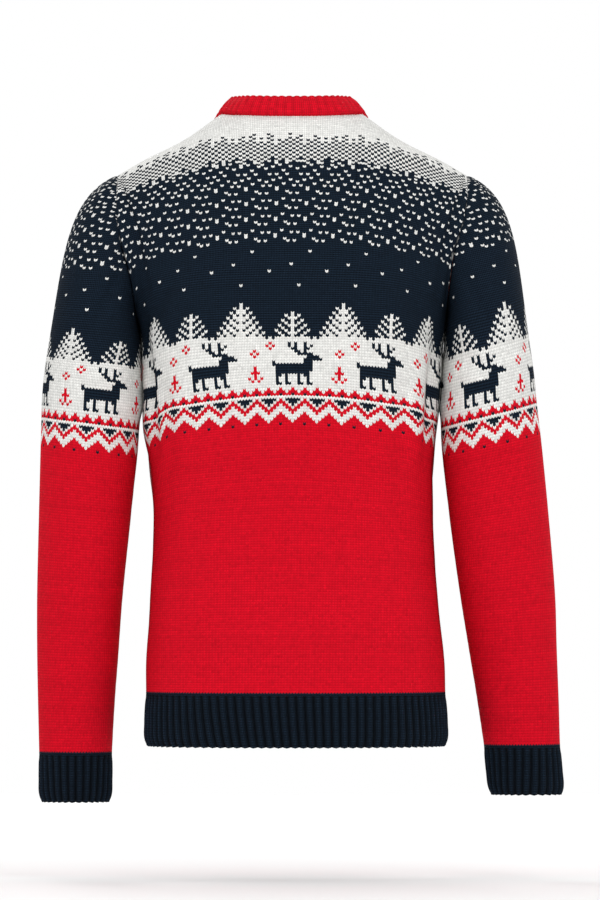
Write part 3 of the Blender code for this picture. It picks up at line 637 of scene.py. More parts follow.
def knitted_piece(name, cloth, row_numbers, last_row, half_stitches, stitch_count, chart, lift):
    """Knit a piece: its stitches outside, its purl side inside, and the rim between them."""
    reach = 2 * (half_stitches + SPARE_STITCHES) + 1
    halves = np.arange(-reach, reach + 1)
    levels = np.arange(-2 * SPARE_ROWS, 2 * last_row + 2) / 2
    net = knitted_net(cloth, row_numbers, levels, halves / 2, stitch_count)

    between = np.arange(len(halves)) % 2 == 0
    rows = np.arange(0, len(levels) - 1, 2)
    places = np.where(between[None, :, None], net[rows + 1], net[rows])
    stand = np.where(between, LIE, LIE + COLUMN_RISE)[None, :, None]
    places[..., POINT] += places[..., NORMAL] * (stand + lift(places)[:, :, None])
    outside, faces, sources = cut_to_edges(places, cloth.edges)
    row, half = np.divmod(sources, len(halves) - 1)
    colours = chart(row - SPARE_ROWS, (halves[half] + 1) // 2)

    some_levels = np.arange(0, len(levels), INNER_HALF_ROWS)
    some_columns = np.append(np.arange(0, len(halves) - 1, 2 * INNER_STITCHES), len(halves) - 1)
    coarse = net[np.ix_(some_levels, some_columns)]
    coarse[..., POINT] += coarse[..., NORMAL] * (lift(coarse)[:, :, None] - WALL)
    inside, inner_faces, sources = cut_to_edges(coarse, cloth.edges)
    all_stitches = np.arange(-half_stitches, half_stitches + 1)
    row_means = np.array([chart(row, all_stitches).mean(axis=0)
                          for row in levels[some_levels[:-1]].astype(int)])
    inner_colours = row_means[sources // (len(some_columns) - 1)]

    outer_run = free_edge(outside, faces, cloth.edges)
    inner_loop, inner_place = free_edge(inside, inner_faces, cloth.edges)
    inner_faces = [[v + len(outside) for v in face[::-1]] for face in inner_faces]
    rim = close_rim(outer_run, (inner_loop + len(outside), inner_place))
    table = np.concatenate([outside, inside])
    all_faces = faces + inner_faces + rim
    mesh = bpy.data.meshes.new(name)
    mesh.from_pydata(table[:, POINT].tolist(), [], all_faces)
    corner = np.zeros(len(mesh.loops), dtype=np.int32)
    mesh.loops.foreach_get("vertex_index", corner)
    rim_colours = np.tile(colours.mean(axis=0), (len(rim), 1))
    shades = np.concatenate([colours, inner_colours, rim_colours])
    mark_stitches(mesh, table[corner][:, [STITCH, ROW]],
                  np.repeat(shades, [len(face) for face in all_faces], axis=0))
    for material in KNIT:
        mesh.materials.append(material)
    slots = np.repeat([0, 1], [len(faces), len(inner_faces) + len(rim)])
    mesh.polygons.foreach_set("material_index", slots.astype(np.int32))
    mesh.validate()
    mesh.shade_smooth()
    mesh.set_sharp_from_angle(angle=math.radians(SHARP_TURN))
    return put_in_scene(name, mesh)


# Yarns, as linear colours with the strength of the painted shade in the gaps and the painted
# highlights on the legs of their stitches, and the chart that says which yarn each stitch is
# knitted in
RED, WHITE, NAVY = 0, 1, 2
YARNS = np.array([(0.540, 0.0024, 0.0130, 0.42), (0.670, 0.668, 0.645, 0.38),
                  (0.0042, 0.0090, 0.0165, 1.00)])
# Stitches from one reindeer, big fir, trough of the zigzag and lone fleck to the next
REPEAT = 27
FOREST = 32
ZIGZAG = 8
FLECK_REPEAT = 18
# Rows of the chart, counted up from the white line above the triangles
DEER_ROW = 5
LITTLE_FIR_ROW = 6
NOTCH_ROW = 22
FOREST_ROW = 23
SEED_ROW = -10
ZIGZAG_LOW, ZIGZAG_HIGH = -5, -2
SNOW_ROW, SNOW_TOP = 65, 74
DRIFT_ROW, DRIFT_TOP = 95, 106
CHECK_ROW = 104
# Stitches from a small fir to the notches over it, and by which snow and frayed edge stand aside
NOTCHES = (6, 8)
SNOW_ASIDE = 4
FRAY_ASIDE = 3
# The check has some rows that fray downwards, then whole ones, then some that fray upwards
CHECK_WHOLE, CHECK_OPEN, CHECK_END = 4, 11, 16
# The sparks and the flecks, each as its stitch and its row
SPARKS = ((0, 15), (5, 18))
FLECKS = ((2, 45), (-7, 51), (0, 54), (6, 60))
# Rows and spread of a fir, and whether its branches are thick
BIG_FIR = (14, 8, True)
SMALL_FIR = (10, 5, False)
DEER_TO_FIR = 14
REPEATS_EACH_WAY = 4
# Stitches and rows that are charted past the piece, and how much the dye varies
CHART_MARGIN = 40
ROWS_ABOVE_LINE = 150
STITCH_TONE, ROW_TONE = 0.045, 0.020
PALEST, DARKEST = 1.15, 0.85
REINDEER = (
    ".....n.n..n.....",
    ".....n.n..n.n...",
    "......nn..nn....",
    ".......nn.n.....",
    "........nnnnn...",
    "...........nnnn.",
    "..........nnnnnn",
    "n.........nnn...",
    "nnnnnnnnnnnnn...",
    ".nnnnnnnnnnnn...",
    ".nnnnnnnnnnnn...",
    ".nnnnnnnnnnn....",
    ".nn.n...n.nn....",
    ".n..n...n..n....",
    ".n..n...n..n....",
    ".nn.nn..nn.nn...",
)
LITTLE_FIR = (
    "..r..",
    "..r..",
    ".rrr.",
    "..r..",
    "r.r.r",
    ".r.r.",
)
SPARK = (
    ".r.",
    "r.r",
    ".r.",
)
SNOW = (
    "...#.....",
    "....#.#..",
    ".........",
    ".........",
    "..#......",
    ".....#.#.",
    "#........",
    "#........",
)
DRIFT = (
    "...#...#.",
    "#..#.....",
    ".#.......",
    "....#...#",
    "......#..",
    "..#......",
    ".........",
    "#..#...#.",
    ".........",
    ".#.......",
    "....#...#",
    "......#..",
)
# Rows by which the check frays downwards and upwards, stitch by stitch
FRAY_DOWN = (1, 2, 0, 3, 4, 1, 2, 0, 3, 1, 0, 4, 2)
FRAY_UP = (1, 3, 5, 2, 4, 5, 0, 3, 1, 5, 4, 0, 3)


def put_motif(cells, motif, middle, bottom, yarn):
    """Chart a motif into cells (rows by stitches), from the middle of its lowest row."""
    left = middle - len(motif[0]) // 2
    for up, line in enumerate(reversed(motif)):
        for right, mark in enumerate(line):
            row, stitch = bottom + up, left + right
            if mark != "." and 0 <= row < cells.shape[0] and 0 <= stitch < cells.shape[1]:
                cells[row, stitch] = yarn


def put_fir(cells, middle, bottom, rows, spread, thick):
    """Chart a white fir: a trunk, and branches that rise outwards, thick ones or thin ones."""
    for down in range(rows):
        row = bottom + rows - 1 - down
        cells[row, middle] = WHITE
        for reach in range(1, spread + 1):
            step = (down + reach) % 3
            if thick:
                branch = (step == 1 and down >= max(2 * reach - 2, 1)
                          or step == 2 and down >= 2 * reach + 2)
            else:
                branch = step == 0 and down >= max(2 * reach - 3, 1)
            for stitch in (middle - reach, middle + reach):
                if branch and 0 <= stitch < cells.shape[1]:
                    cells[row, stitch] = WHITE


def jumper_chart(line, half_stitches, zigzag, deer, forest, snow, seed, yoke=True):
    """The colour of every stitch, where `line` is the row of the white line above the triangles.

    zigzag, deer, forest and snow are the stitches that a trough, a reindeer, a big fir and a fleck
    of the scattered snow stand on. Without a yoke the snow goes on to the last row.
    """
    middle = CHART_MARGIN + half_stitches
    width = 2 * middle + 1
    cells = np.zeros((line + ROWS_ABOVE_LINE, width), dtype=int)
    stitch = np.arange(width) - middle

    # Navy triangles that hang from the white line, a white zigzag below them, and a navy seed
    for n, down in enumerate(np.abs((stitch - zigzag) % ZIGZAG - ZIGZAG // 2)):
        cells[line - down:line + 1, n] = WHITE
        cells[line - down + 1:line, n] = NAVY
        cells[line - down + ZIGZAG_LOW:line - down + ZIGZAG_HIGH, n] = WHITE
        if down == 0:
            cells[line + SEED_ROW, n] = NAVY
    scallop = (stitch - zigzag) % 4
    cells[line + 1] = np.where(scallop == 0, NAVY, RED)
    cells[line + 2] = np.where(scallop == 2, WHITE, RED)
    cells[line + 3] = np.where(scallop == 0, RED, WHITE)

    # The white band of reindeer, little firs and sparks, and the navy above it with its forest
    cells[line + 4:line + FOREST_ROW] = WHITE
    cells[line + FOREST_ROW:] = NAVY
    from_small = np.abs((stitch - forest) % FOREST - FOREST // 2)
    cells[line + NOTCH_ROW, np.isin(from_small, NOTCHES)] = NAVY
    for n in range(-REPEATS_EACH_WAY, REPEATS_EACH_WAY + 1):
        deer_at = middle + deer + n * REPEAT
        fir_at = deer_at - DEER_TO_FIR
        put_motif(cells, REINDEER, deer_at, line + DEER_ROW, NAVY)
        put_motif(cells, LITTLE_FIR, fir_at, line + LITTLE_FIR_ROW, RED)
        for aside, row in SPARKS:
            put_motif(cells, SPARK, fir_at + aside, line + row, RED)
        big_at = middle + forest + n * FOREST
        for trunk, size in ((big_at, BIG_FIR), (big_at + FOREST // 2, SMALL_FIR)):
            if 0 <= trunk < width:
                put_fir(cells, trunk, line + FOREST_ROW, *size)

    # Lone flecks, scattered snow and denser snow
    for aside, row in FLECKS:
        cells[line + row, (stitch - snow - aside) % FLECK_REPEAT == 0] = WHITE
    for row in range(line + SNOW_ROW, line + DRIFT_TOP + 1 if yoke else len(cells)):
        motif, top = (DRIFT, DRIFT_TOP) if row >= line + DRIFT_ROW else (SNOW, SNOW_TOP)
        marks = motif[(line + top - row) % len(motif)]
        cells[row, [marks[n] == "#" for n in (stitch - snow - SNOW_ASIDE) % len(marks)]] = WHITE

    # The white yoke, with its checked and frayed edge
    if yoke:
        fray_down = np.array(FRAY_DOWN)[stitch % len(FRAY_DOWN)]
        fray_up = np.array(FRAY_UP)[(stitch + FRAY_ASIDE) % len(FRAY_UP)]
        cells[line + CHECK_ROW + CHECK_OPEN:] = WHITE
        for up in range(CHECK_END):
            row = line + CHECK_ROW + up
            odd = (stitch + up) % 2 == 1
            if up < CHECK_WHOLE:
                cells[row, odd & (fray_down >= CHECK_WHOLE - up)] = WHITE
            elif up < CHECK_OPEN:
                cells[row] = np.where(odd, WHITE, NAVY)
            else:
                cells[row, ~odd & (fray_up > up - CHECK_OPEN)] = NAVY
    cells[0] = NAVY

    rng = np.random.default_rng(seed)
    tone = (1 + STITCH_TONE * rng.standard_normal(cells.shape)
            + ROW_TONE * rng.standard_normal((cells.shape[0], 1)))
    shades = YARNS[cells] * np.clip(tone, DARKEST, PALEST)[:, :, None]

    def colour(rows, stitches):
        row = np.clip(np.asarray(rows), 0, cells.shape[0] - 1)
        return shades[row, np.asarray(stitches) + middle]
    return colour


def wire(tree, kind, *inputs, out=0, **settings):
    """Add a node to a node tree, give its inputs sockets or values, and return one output."""
    node = tree.nodes.new(kind)
    for name, value in settings.items():
        setattr(node, name, value)
    for n, value in enumerate(inputs):
        if isinstance(value, bpy.types.NodeSocket):
            tree.links.new(value, node.inputs[n])
        elif value is not None:
            node.inputs[n].default_value = value
    return node.outputs[out]


def maths(tree, operation, a, b=0.0):
    """One step of arithmetic in a node tree."""
    return wire(tree, "ShaderNodeMath", a, b, operation=operation)


def scaled(tree, value, scale, plus):
    """A value in a node tree, times scale and then plus another."""
    return maths(tree, "ADD", maths(tree, "MULTIPLY", value, scale), plus)


def cycle(tree, kind, turns):
    """The SINE or COSINE of a number of whole turns."""
    return maths(tree, kind, maths(tree, "MULTIPLY", turns, 2 * math.pi))


def arch(tree, place, power):
    """An arch that is 0 at places 0 and 1, and 1 half-way; a lower power makes it rounder."""
    rise = maths(tree, "SINE", maths(tree, "MULTIPLY", place, math.pi))
    return maths(tree, "POWER", maths(tree, "MAXIMUM", rise, 0.0), power)


# Wool: how dull it is, how fine its fibres are (bumps in a metre), and how they are mixed
WOOL_ROUGHNESS = 0.86
WOOL_GLOSS = 0.08
FINE_FIBRES = 900.0
COARSE_FIBRES = 700.0
FIBRE_DETAIL = 3.0
FIBRE_MIX = 0.6
RELIEF_STRENGTH = 0.8


def cloth_material(name, fineness):
    """A new material, with its node tree, its dull shader, its yarn's colour and its fibres."""
    material = bpy.data.materials.new(name)
    material.use_nodes = True
    tree = material.node_tree
    shader = tree.nodes["Principled BSDF"]
    shader.inputs["Roughness"].default_value = WOOL_ROUGHNESS
    shader.inputs["Specular IOR Level"].default_value = WOOL_GLOSS
    yarn = wire(tree, "ShaderNodeAttribute", attribute_name="yarn")
    surface = wire(tree, "ShaderNodeTexCoord", out=3)
    fibres = wire(tree, "ShaderNodeTexNoise", surface, None, fineness, FIBRE_DETAIL, FIBRE_MIX)
    return material, tree, shader, yarn, fibres


def stitch_place(tree):
    """Where a point of the cloth is, in stitches across and in rows up."""
    stitch = wire(tree, "ShaderNodeSeparateXYZ", wire(tree, "ShaderNodeUVMap", uv_map="stitches"))
    return stitch, stitch.node.outputs[1]


def shade_yarn(tree, shader, yarn, shade):
    """Colour a shader with its yarn, times shade."""
    tint = wire(tree, "ShaderNodeVectorMath", yarn, operation="SCALE")
    tree.links.new(shade, tint.node.inputs["Scale"])
    tree.links.new(tint, shader.inputs["Base Color"])


def raise_yarn(tree, shader, height, distance):
    """Give a shader a relief that stands out by height times distance."""
    bump = wire(tree, "ShaderNodeBump")
    bump.node.inputs["Strength"].default_value = RELIEF_STRENGTH
    bump.node.inputs["Distance"].default_value = distance
    tree.links.new(height, bump.node.inputs["Height"])
    tree.links.new(bump, shader.inputs["Normal"])


# The legs of a stitch: how round they are across and along, how much of the relief is theirs, how
# the yarn is twisted, how strong the painted shade in the gaps and the painted highlights on the
# legs are, and how strong the painted light and shade between the rows is
LEG_ROUND, LEG_END_ROUND = 0.55, 0.70
LEG_RELIEF, LEG_END_RELIEF = 0.40, 0.60
TWISTS_ALONG, TWISTS_ACROSS = 2.2, 1.1
TWIST_RELIEF = 0.05
FIBRE_RELIEF = 0.25
FIBRE_SHADE = 0.30
PAINTED_GAP_SHADE = 1.9
PAINTED_ROW_SHADE = 0.60
MEAN_PLUMPNESS = 0.66
STITCH_RELIEF = 0.0008


def stitch_material():
    """Stocking stitch: two plump legs of spun yarn to every stitch, with painted shade in the gaps
    between, painted highlights on the legs, and painted light and shade along the rows.
    """
    material, tree, shader, yarn, fibres = cloth_material("stocking stitch", FINE_FIBRES)
    stitch, row = stitch_place(tree)
    half_way = maths(tree, "FRACT", maths(tree, "ADD", stitch, 0.5))
    side = maths(tree, "MULTIPLY",
                 maths(tree, "ABSOLUTE", maths(tree, "SUBTRACT", half_way, 0.5)), 2.0)
    leg = maths(tree, "FRACT", maths(tree, "SUBTRACT", row, maths(tree, "MULTIPLY", side, 0.5)))
    plump = maths(
        tree, "MULTIPLY",
        scaled(tree, arch(tree, leg, LEG_ROUND), LEG_RELIEF, 1 - LEG_RELIEF),
        scaled(tree, arch(tree, side, LEG_END_ROUND), LEG_END_RELIEF, 1 - LEG_END_RELIEF))
    twists = maths(tree, "ADD", maths(tree, "MULTIPLY", side, TWISTS_ALONG),
                   maths(tree, "MULTIPLY", leg, TWISTS_ACROSS))
    height = scaled(tree, cycle(tree, "SINE", twists), TWIST_RELIEF, plump)
    height = scaled(tree, fibres, FIBRE_RELIEF, height)

    # The yarn's fourth number is how strong the painted shade in its gaps and the painted
    # highlights on its legs are
    gaps = yarn.node.outputs["Alpha"]
    shade = scaled(tree, maths(tree, "SUBTRACT", plump, MEAN_PLUMPNESS),
                   maths(tree, "MULTIPLY", gaps, PAINTED_GAP_SHADE), 1.0)
    # Painted light and shade along the rows: the colour swings lighter and darker once every row
    painted_row_shading = maths(tree, "MULTIPLY", maths(tree, "POWER", gaps, 2.0), PAINTED_ROW_SHADE)
    shade = scaled(tree, cycle(tree, "COSINE", row), painted_row_shading, shade)
    shade = maths(tree, "MULTIPLY", shade,
                  scaled(tree, fibres, FIBRE_SHADE, 1 - FIBRE_SHADE / 2))
    shade_yarn(tree, shader, yarn, shade)
    raise_yarn(tree, shader, height, STITCH_RELIEF)
    return material


PURL_BOW = 0.25
PURL_FIBRE_RELIEF = 0.4
PURL_PAINTED_SHADE = 0.45
PURL_RELIEF = 0.0009


def purl_material():
    """The inside: bowed rows of purl bumps, each row in the mean colour of its stitches, with
    painted shade between the bumps.
    """
    material, tree, shader, yarn, fibres = cloth_material("purl side", COARSE_FIBRES)
    stitch, row = stitch_place(tree)
    bowed = maths(tree, "MULTIPLY",
                  scaled(tree, cycle(tree, "SINE", stitch), PURL_BOW, row), math.pi)
    ridge = maths(tree, "ABSOLUTE", maths(tree, "SINE", bowed))
    # Painted shade: the colour darkens in the furrows between the ridges of purl bumps
    shade_yarn(tree, shader, yarn, scaled(tree, ridge, PURL_PAINTED_SHADE, 1 - PURL_PAINTED_SHADE))
    raise_yarn(tree, shader, scaled(tree, fibres, PURL_FIBRE_RELIEF, ridge), PURL_RELIEF)
    return material


LAST_PANEL_ROW = 264
PANEL_LINE = 117
PANEL_PHASES = (0, 2, 16, 0)
KNIT = (stitch_material(), purl_material())


def body_panel(name, side, creases, seed):
    """Knit the back (+1) or the front (-1)."""
    cloth = panel_cloth(side)
    chart = jumper_chart(PANEL_LINE, PANEL_STITCHES // 2, *PANEL_PHASES, seed)
    return knitted_piece(
        name, cloth, panel_row_numbers(cloth), LAST_PANEL_ROW, PANEL_STITCHES // 2,
        panel_stitch_count, chart,
        lambda net: crease_lift(creases, -side * net[..., X], net[..., Z]) + seam_lift(cloth, net))


back = body_panel("back_knit", 1, BACK_CREASES, 11)
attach(back, "root")
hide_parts("back_panel")


# ---------------------------------------------------------------------------------------------
# Front panel
# The front is knitted like the back, to the same chart, but its neckline is cut lower.
# It is sewn to the back along the shoulders and the sides.
# ---------------------------------------------------------------------------------------------

FRONT_CREASES = rows_of(
    Crease,
    (0.172, -0.228, -88, 0.036, 0.014, 0.0022),
    (-0.140, -0.210, 58, 0.058, 0.010, -0.0030),
    (-0.122, -0.204, 50, 0.050, 0.009, 0.0020),
    (-0.140, -0.312, 88, 0.080, 0.008, 0.0030),
    (-0.122, -0.335, 95, 0.075, 0.011, -0.0030),
    (0.145, -0.212, -60, 0.056, 0.010, -0.0030),
    (0.124, -0.206, -52, 0.050, 0.010, 0.0020),
    (0.138, -0.322, -84, 0.085, 0.009, 0.0030),
    (0.119, -0.350, -95, 0.075, 0.012, -0.0028),
    (0.070, -0.440, -28, 0.110, 0.021, -0.0014),
    (-0.050, -0.470, 22, 0.100, 0.020, -0.0013),
    (0.030, -0.520, -12, 0.120, 0.018, 0.0012),
    (-0.090, -0.545, -66, 0.090, 0.022, -0.0014),
    (0.100, -0.565, 72, 0.080, 0.020, -0.0013),
    (0.150, -0.115, -72, 0.040, 0.009, -0.0016),
    (-0.152, -0.110, 74, 0.040, 0.009, -0.0016),
)

front = body_panel("front_knit", -1, FRONT_CREASES, 12)
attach(front, "root")
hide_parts("front_panel")


# ---------------------------------------------------------------------------------------------
# Sleeves
# Each sleeve is one piece, knitted upwards from the cuff, wider towards the top, and sewn into a
# tube along the underarm. Its top is sewn into the armhole, a little fuller than the edge.
# ---------------------------------------------------------------------------------------------

SLEEVE_CLEARANCE = 0.0005
BICEP_Z = -0.240
# By hand: 1 is the wearer's left
CUFF_SEAM_Z = {1: -0.685, -1: -0.677}
CapSeam = namedtuple("CapSeam", "share out_x out_y out_z reach rise")
CAP_BACK = rows_of(
    CapSeam,
    (0.00, 0.05, 0.00, -1.00, 0.010, 0.010),
    (0.25, 0.35, 0.45, -0.82, 0.020, 0.018),
    (0.50, 0.62, 0.50, -0.60, 0.030, 0.040),
    (0.75, 0.86, 0.35, -0.38, 0.045, 0.070),
    (1.00, 0.93, 0.00, -0.37, 0.058, 0.098),
)
CAP_FRONT = rows_of(
    CapSeam,
    (0.00, 0.05, 0.00, -1.00, 0.010, 0.010),
    (0.25, 0.35, -0.45, -0.82, 0.020, 0.018),
    (0.50, 0.66, -0.48, -0.58, 0.032, 0.040),
    (0.75, 0.88, -0.33, -0.36, 0.048, 0.070),
    (1.00, 0.93, 0.00, -0.37, 0.058, 0.098),
)
SleeveSection = namedtuple("SleeveSection", "z inner outer middle_y half_depth squareness")
LEFT_SLEEVE_SECTIONS = rows_of(
    SleeveSection,
    (-0.240, 0.1600, 0.2620, 0.000, 0.068, 2.20),
    (-0.272, 0.1590, 0.2670, 0.000, 0.067, 2.15),
    (-0.303, 0.1590, 0.2695, -0.001, 0.064, 2.10),
    (-0.320, 0.1640, 0.2700, -0.001, 0.063, 2.10),
    (-0.355, 0.1670, 0.2710, -0.002, 0.061, 2.10),
    (-0.431, 0.1750, 0.2730, -0.006, 0.057, 2.10),
    (-0.517, 0.1840, 0.2750, -0.013, 0.052, 2.10),
    (-0.578, 0.1885, 0.2750, -0.020, 0.048, 2.10),
    (-0.638, 0.1930, 0.2740, -0.027, 0.044, 2.10),
    (-0.685, 0.1955, 0.2730, -0.032, 0.041, 2.10),
    (-0.737, 0.1970, 0.2720, -0.036, 0.039, 2.10),
)
RIGHT_SLEEVE_SECTIONS = rows_of(
    SleeveSection,
    (-0.240, 0.1600, 0.2560, 0.000, 0.068, 2.20),
    (-0.272, 0.1580, 0.2605, 0.000, 0.067, 2.15),
    (-0.303, 0.1580, 0.2635, -0.001, 0.064, 2.10),
    (-0.320, 0.1605, 0.2655, -0.001, 0.063, 2.10),
    (-0.350, 0.1620, 0.2690, -0.002, 0.061, 2.10),
    (-0.431, 0.1710, 0.2770, -0.006, 0.057, 2.10),
    (-0.517, 0.1830, 0.2840, -0.013, 0.052, 2.10),
    (-0.566, 0.1910, 0.2855, -0.019, 0.048, 2.10),
    (-0.630, 0.2015, 0.2880, -0.026, 0.044, 2.10),
    (-0.677, 0.2085, 0.2895, -0.031, 0.041, 2.10),
    (-0.730, 0.2150, 0.2930, -0.035, 0.039, 2.10),
)

SLEEVE_COLUMNS = 231
SLEEVE_HALF_STITCHES = 62
LAST_SLEEVE_ROW = 262
# Shares of the way round: how far the net runs past the underarm, and half the gap sewn up there
PAST_UNDERARM = 0.03
SEAM_GAP = 0.0007


def sleeve_seam(hand, share):
    """The armhole seam; share runs 0 at the underarm, 0.5 at the shoulder tip, 1 underarm."""
    points = np.zeros((len(share), 3))
    ways = np.zeros((len(share), 3))
    reach = np.zeros(len(share))
    rise = np.zeros(len(share))
    for n, place in enumerate(share):
        behind = place <= 0.5
        climb = 2 * place if behind else 2 * (1 - place)
        side = 1 if behind else -1
        across = np.array([hand * (1 - climb * (1 - SHOULDER_END) * JUST_INSIDE)])
        points[n] = top_edge(side, across)[0][0]
        cap = CAP_BACK if behind else CAP_FRONT
        out_x, out_y, out_z, reach[n], rise[n] = (
            float(column(cap, name, climb, "share"))
            for name in ("out_x", "out_y", "out_z", "reach", "rise"))
        ways[n] = (hand * out_x, out_y, out_z)
    return points, unit(ways), reach, rise


def arm_ring(hand, share, z):
    """Points of one section of a hanging sleeve."""
    rows = (LEFT_SLEEVE_SECTIONS if hand > 0 else RIGHT_SLEEVE_SECTIONS)[::-1]
    inner, outer, middle, depth, squareness = (
        float(column(rows, name, z, "z"))
        for name in ("inner", "outer", "middle_y", "half_depth", "squareness"))
    inner = max(inner, torso_reach(hand, z) + SLEEVE_CLEARANCE)
    half = (outer - inner) / 2
    behind = share <= 0.5
    across = np.where(behind, 4 * share - 1, 3 - 4 * share)
    x, y = half_oval(across, squareness, depth / half)
    return np.stack([hand * ((inner + outer) / 2 + half * x),
                     middle + np.where(behind, 1, -1) * depth * y,
                     np.full_like(x, z)], axis=-1)


def sleeve_cloth(hand):
    """The net of a sleeve, from its cuff seam (0) past the bicep (1) to the armhole (2)."""
    across = np.linspace(1 + PAST_UNDERARM, -PAST_UNDERARM, SLEEVE_COLUMNS)[::hand]
    share = across % 1.0
    seam, way, reach, rise = sleeve_seam(hand, share)
    bicep = arm_ring(hand, share, BICEP_Z)
    hanging = unit(arm_ring(hand, share, BICEP_Z - A_LITTLE_LOWER) - bicep)
    curve = (bicep, bicep - rise[:, None] * hanging, seam + reach[:, None] * way, seam)
    edge = (1 - SEAM_GAP, SEAM_GAP)[::hand]
    girth = 2 * SLEEVE_HALF_STITCHES * SLEEVE_STITCH_ROWS[0].width
    return cloth_net(across, lambda z: arm_ring(hand, share, z), CUFF_SEAM_Z[hand], BICEP_Z,
                     curve, (edge, (0.0, 2.0)), girth)


# Rows up the outer line of each sleeve; round the inner side they run lower
LEFT_SLEEVE_ROWS = rows_of(
    RowMark,
    (-0.7100, -8.1),
    (-0.6850, 0.0),
    (-0.3489, 115.0),
    (-0.3196, 125.4),
    (-0.3067, 129.3),
    (-0.2919, 134.0),
    (-0.2756, 139.5),
    (-0.2645, 143.5),
    (-0.2550, 147.0),
    (-0.2235, 160.5),
    (-0.1870, 175.7),
    (-0.1538, 191.0),
    (-0.1164, 207.0),
    (-0.0983, 215.0),
    (0.0800, 291.0),
)
RIGHT_SLEEVE_ROWS = rows_of(
    RowMark,
    (-0.7020, -8.5),
    (-0.6770, 0.0),
    (-0.3358, 115.0),
    (-0.3040, 125.4),
    (-0.2905, 129.3),
    (-0.2752, 134.0),
    (-0.2565, 139.5),
    (-0.2430, 143.5),
    (-0.2303, 147.0),
    (-0.1894, 160.5),
    (-0.1540, 175.7),
    (-0.1234, 191.0),
    (-0.1053, 199.0),
    (-0.0893, 207.0),
    (0.0800, 288.0),
)
RowTilt = namedtuple("RowTilt", "height drop")
LEFT_TILT = rows_of(
    RowTilt,
    (-0.685, 0.000),
    (-0.480, 0.006),
    (-0.340, 0.014),
    (-0.260, 0.012),
    (-0.200, 0.007),
    (-0.060, 0.005),
    (0.080, 0.005),
)
RIGHT_TILT = rows_of(
    RowTilt,
    (-0.677, 0.000),
    (-0.480, 0.012),
    (-0.340, 0.027),
    (-0.200, 0.027),
    (-0.060, 0.020),
    (0.080, 0.020),
)


def sleeve_row_numbers(cloth, hand):
    """The row of knitting at each place of a sleeve's net."""
    marks = LEFT_SLEEVE_ROWS if hand > 0 else RIGHT_SLEEVE_ROWS
    tilts = LEFT_TILT if hand > 0 else RIGHT_TILT
    inner = (1 + np.cos(2 * math.pi * cloth.across)) / 2
    drop = column(tilts, "drop", cloth.height, "height")
    level = cloth.height + drop * inner[None, :]
    return np.interp(level, [m.height for m in marks], [m.row for m in marks])


DRIFT_REACH = 0.03
SleeveRow = namedtuple("SleeveRow", "row width drift")
SLEEVE_STITCH_ROWS = rows_of(
    SleeveRow,
    (-10.0, 0.00322, 0.0),
    (115.0, 0.00322, 0.0),
    (147.0, 0.00348, 0.0),
    (160.0, 0.00360, 0.0),
    (178.0, 0.00380, 0.0),
    (191.0, 0.00390, 1.3),
    (207.0, 0.00390, 2.3),
)


def sleeve_stitch_count(level, run):
    """How many stitches lie between the outer line of a sleeve and each place along a row."""
    width, drift = (float(column(SLEEVE_STITCH_ROWS, name, level, "row"))
                    for name in ("width", "drift"))
    return run / width + drift * np.tanh(run / DRIFT_REACH)


# Creases of the sleeves: x runs outwards from the body, and side is +1 behind, -1 in front
SleeveCrease = namedtuple("SleeveCrease", "side x z turn length width depth")
SLEEVE_CREASES = rows_of(
    SleeveCrease,
    (1, 0.196, -0.190, -62, 0.050, 0.008, -0.0026),
    (1, 0.214, -0.215, -54, 0.048, 0.009, -0.0018),
    (1, 0.192, -0.262, -20, 0.030, 0.008, -0.0020),
    (1, 0.200, -0.395, 34, 0.040, 0.010, -0.0020),
    (1, 0.214, -0.425, 22, 0.040, 0.010, -0.0018),
    (1, 0.250, -0.470, -30, 0.044, 0.012, -0.0015),
    (1, 0.235, -0.560, 48, 0.050, 0.012, -0.0014),
    (1, 0.252, -0.640, -40, 0.040, 0.010, -0.0014),
    (-1, 0.196, -0.195, -60, 0.050, 0.008, -0.0026),
    (-1, 0.212, -0.222, -50, 0.048, 0.009, -0.0018),
    (-1, 0.205, -0.375, 30, 0.044, 0.010, -0.0022),
    (-1, 0.222, -0.405, 18, 0.044, 0.010, -0.0020),
    (-1, 0.240, -0.440, -6, 0.040, 0.010, -0.0018),
    (-1, 0.240, -0.580, 44, 0.050, 0.012, -0.0014),
    (-1, 0.258, -0.645, -34, 0.040, 0.010, -0.0014),
)


def sleeve_lift(hand, net):
    """How far the creases lift a sleeve's cloth; they fade round its inner and outer lines."""
    lift = np.zeros(net.shape[:2])
    share = net[..., ACROSS] % 1.0
    for side in (1, -1):
        creases = [Crease(*c[1:]) for c in SLEEVE_CREASES if c.side == side]
        facing = np.clip(np.sin(2 * math.pi * share) * side, 0, 1) ** 0.5
        lift += facing * crease_lift(creases, hand * net[..., X], net[..., Z])
    return lift


SLEEVE_LINE = 124


def knitted_sleeve(name, hand, phases, seed):
    """Knit a sleeve; phases are the stitches of its zigzag, reindeer, firs and snow."""
    cloth = sleeve_cloth(hand)
    chart = jumper_chart(SLEEVE_LINE, SLEEVE_HALF_STITCHES, *phases, seed, yoke=False)
    return knitted_piece(
        name, cloth, sleeve_row_numbers(cloth, hand), LAST_SLEEVE_ROW, SLEEVE_HALF_STITCHES,
        sleeve_stitch_count, chart, lambda net: sleeve_lift(hand, net) + seam_lift(cloth, net))


left_sleeve = knitted_sleeve("left_sleeve_knit", 1, (3, 33, 19, 20), 13)
right_sleeve = knitted_sleeve("right_sleeve_knit", -1, (-3, -29, -19, -19), 14)
for sleeve, node in ((left_sleeve, "left_sleeve"), (right_sleeve, "right_sleeve")):
    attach(sleeve, "root")
    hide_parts(node)


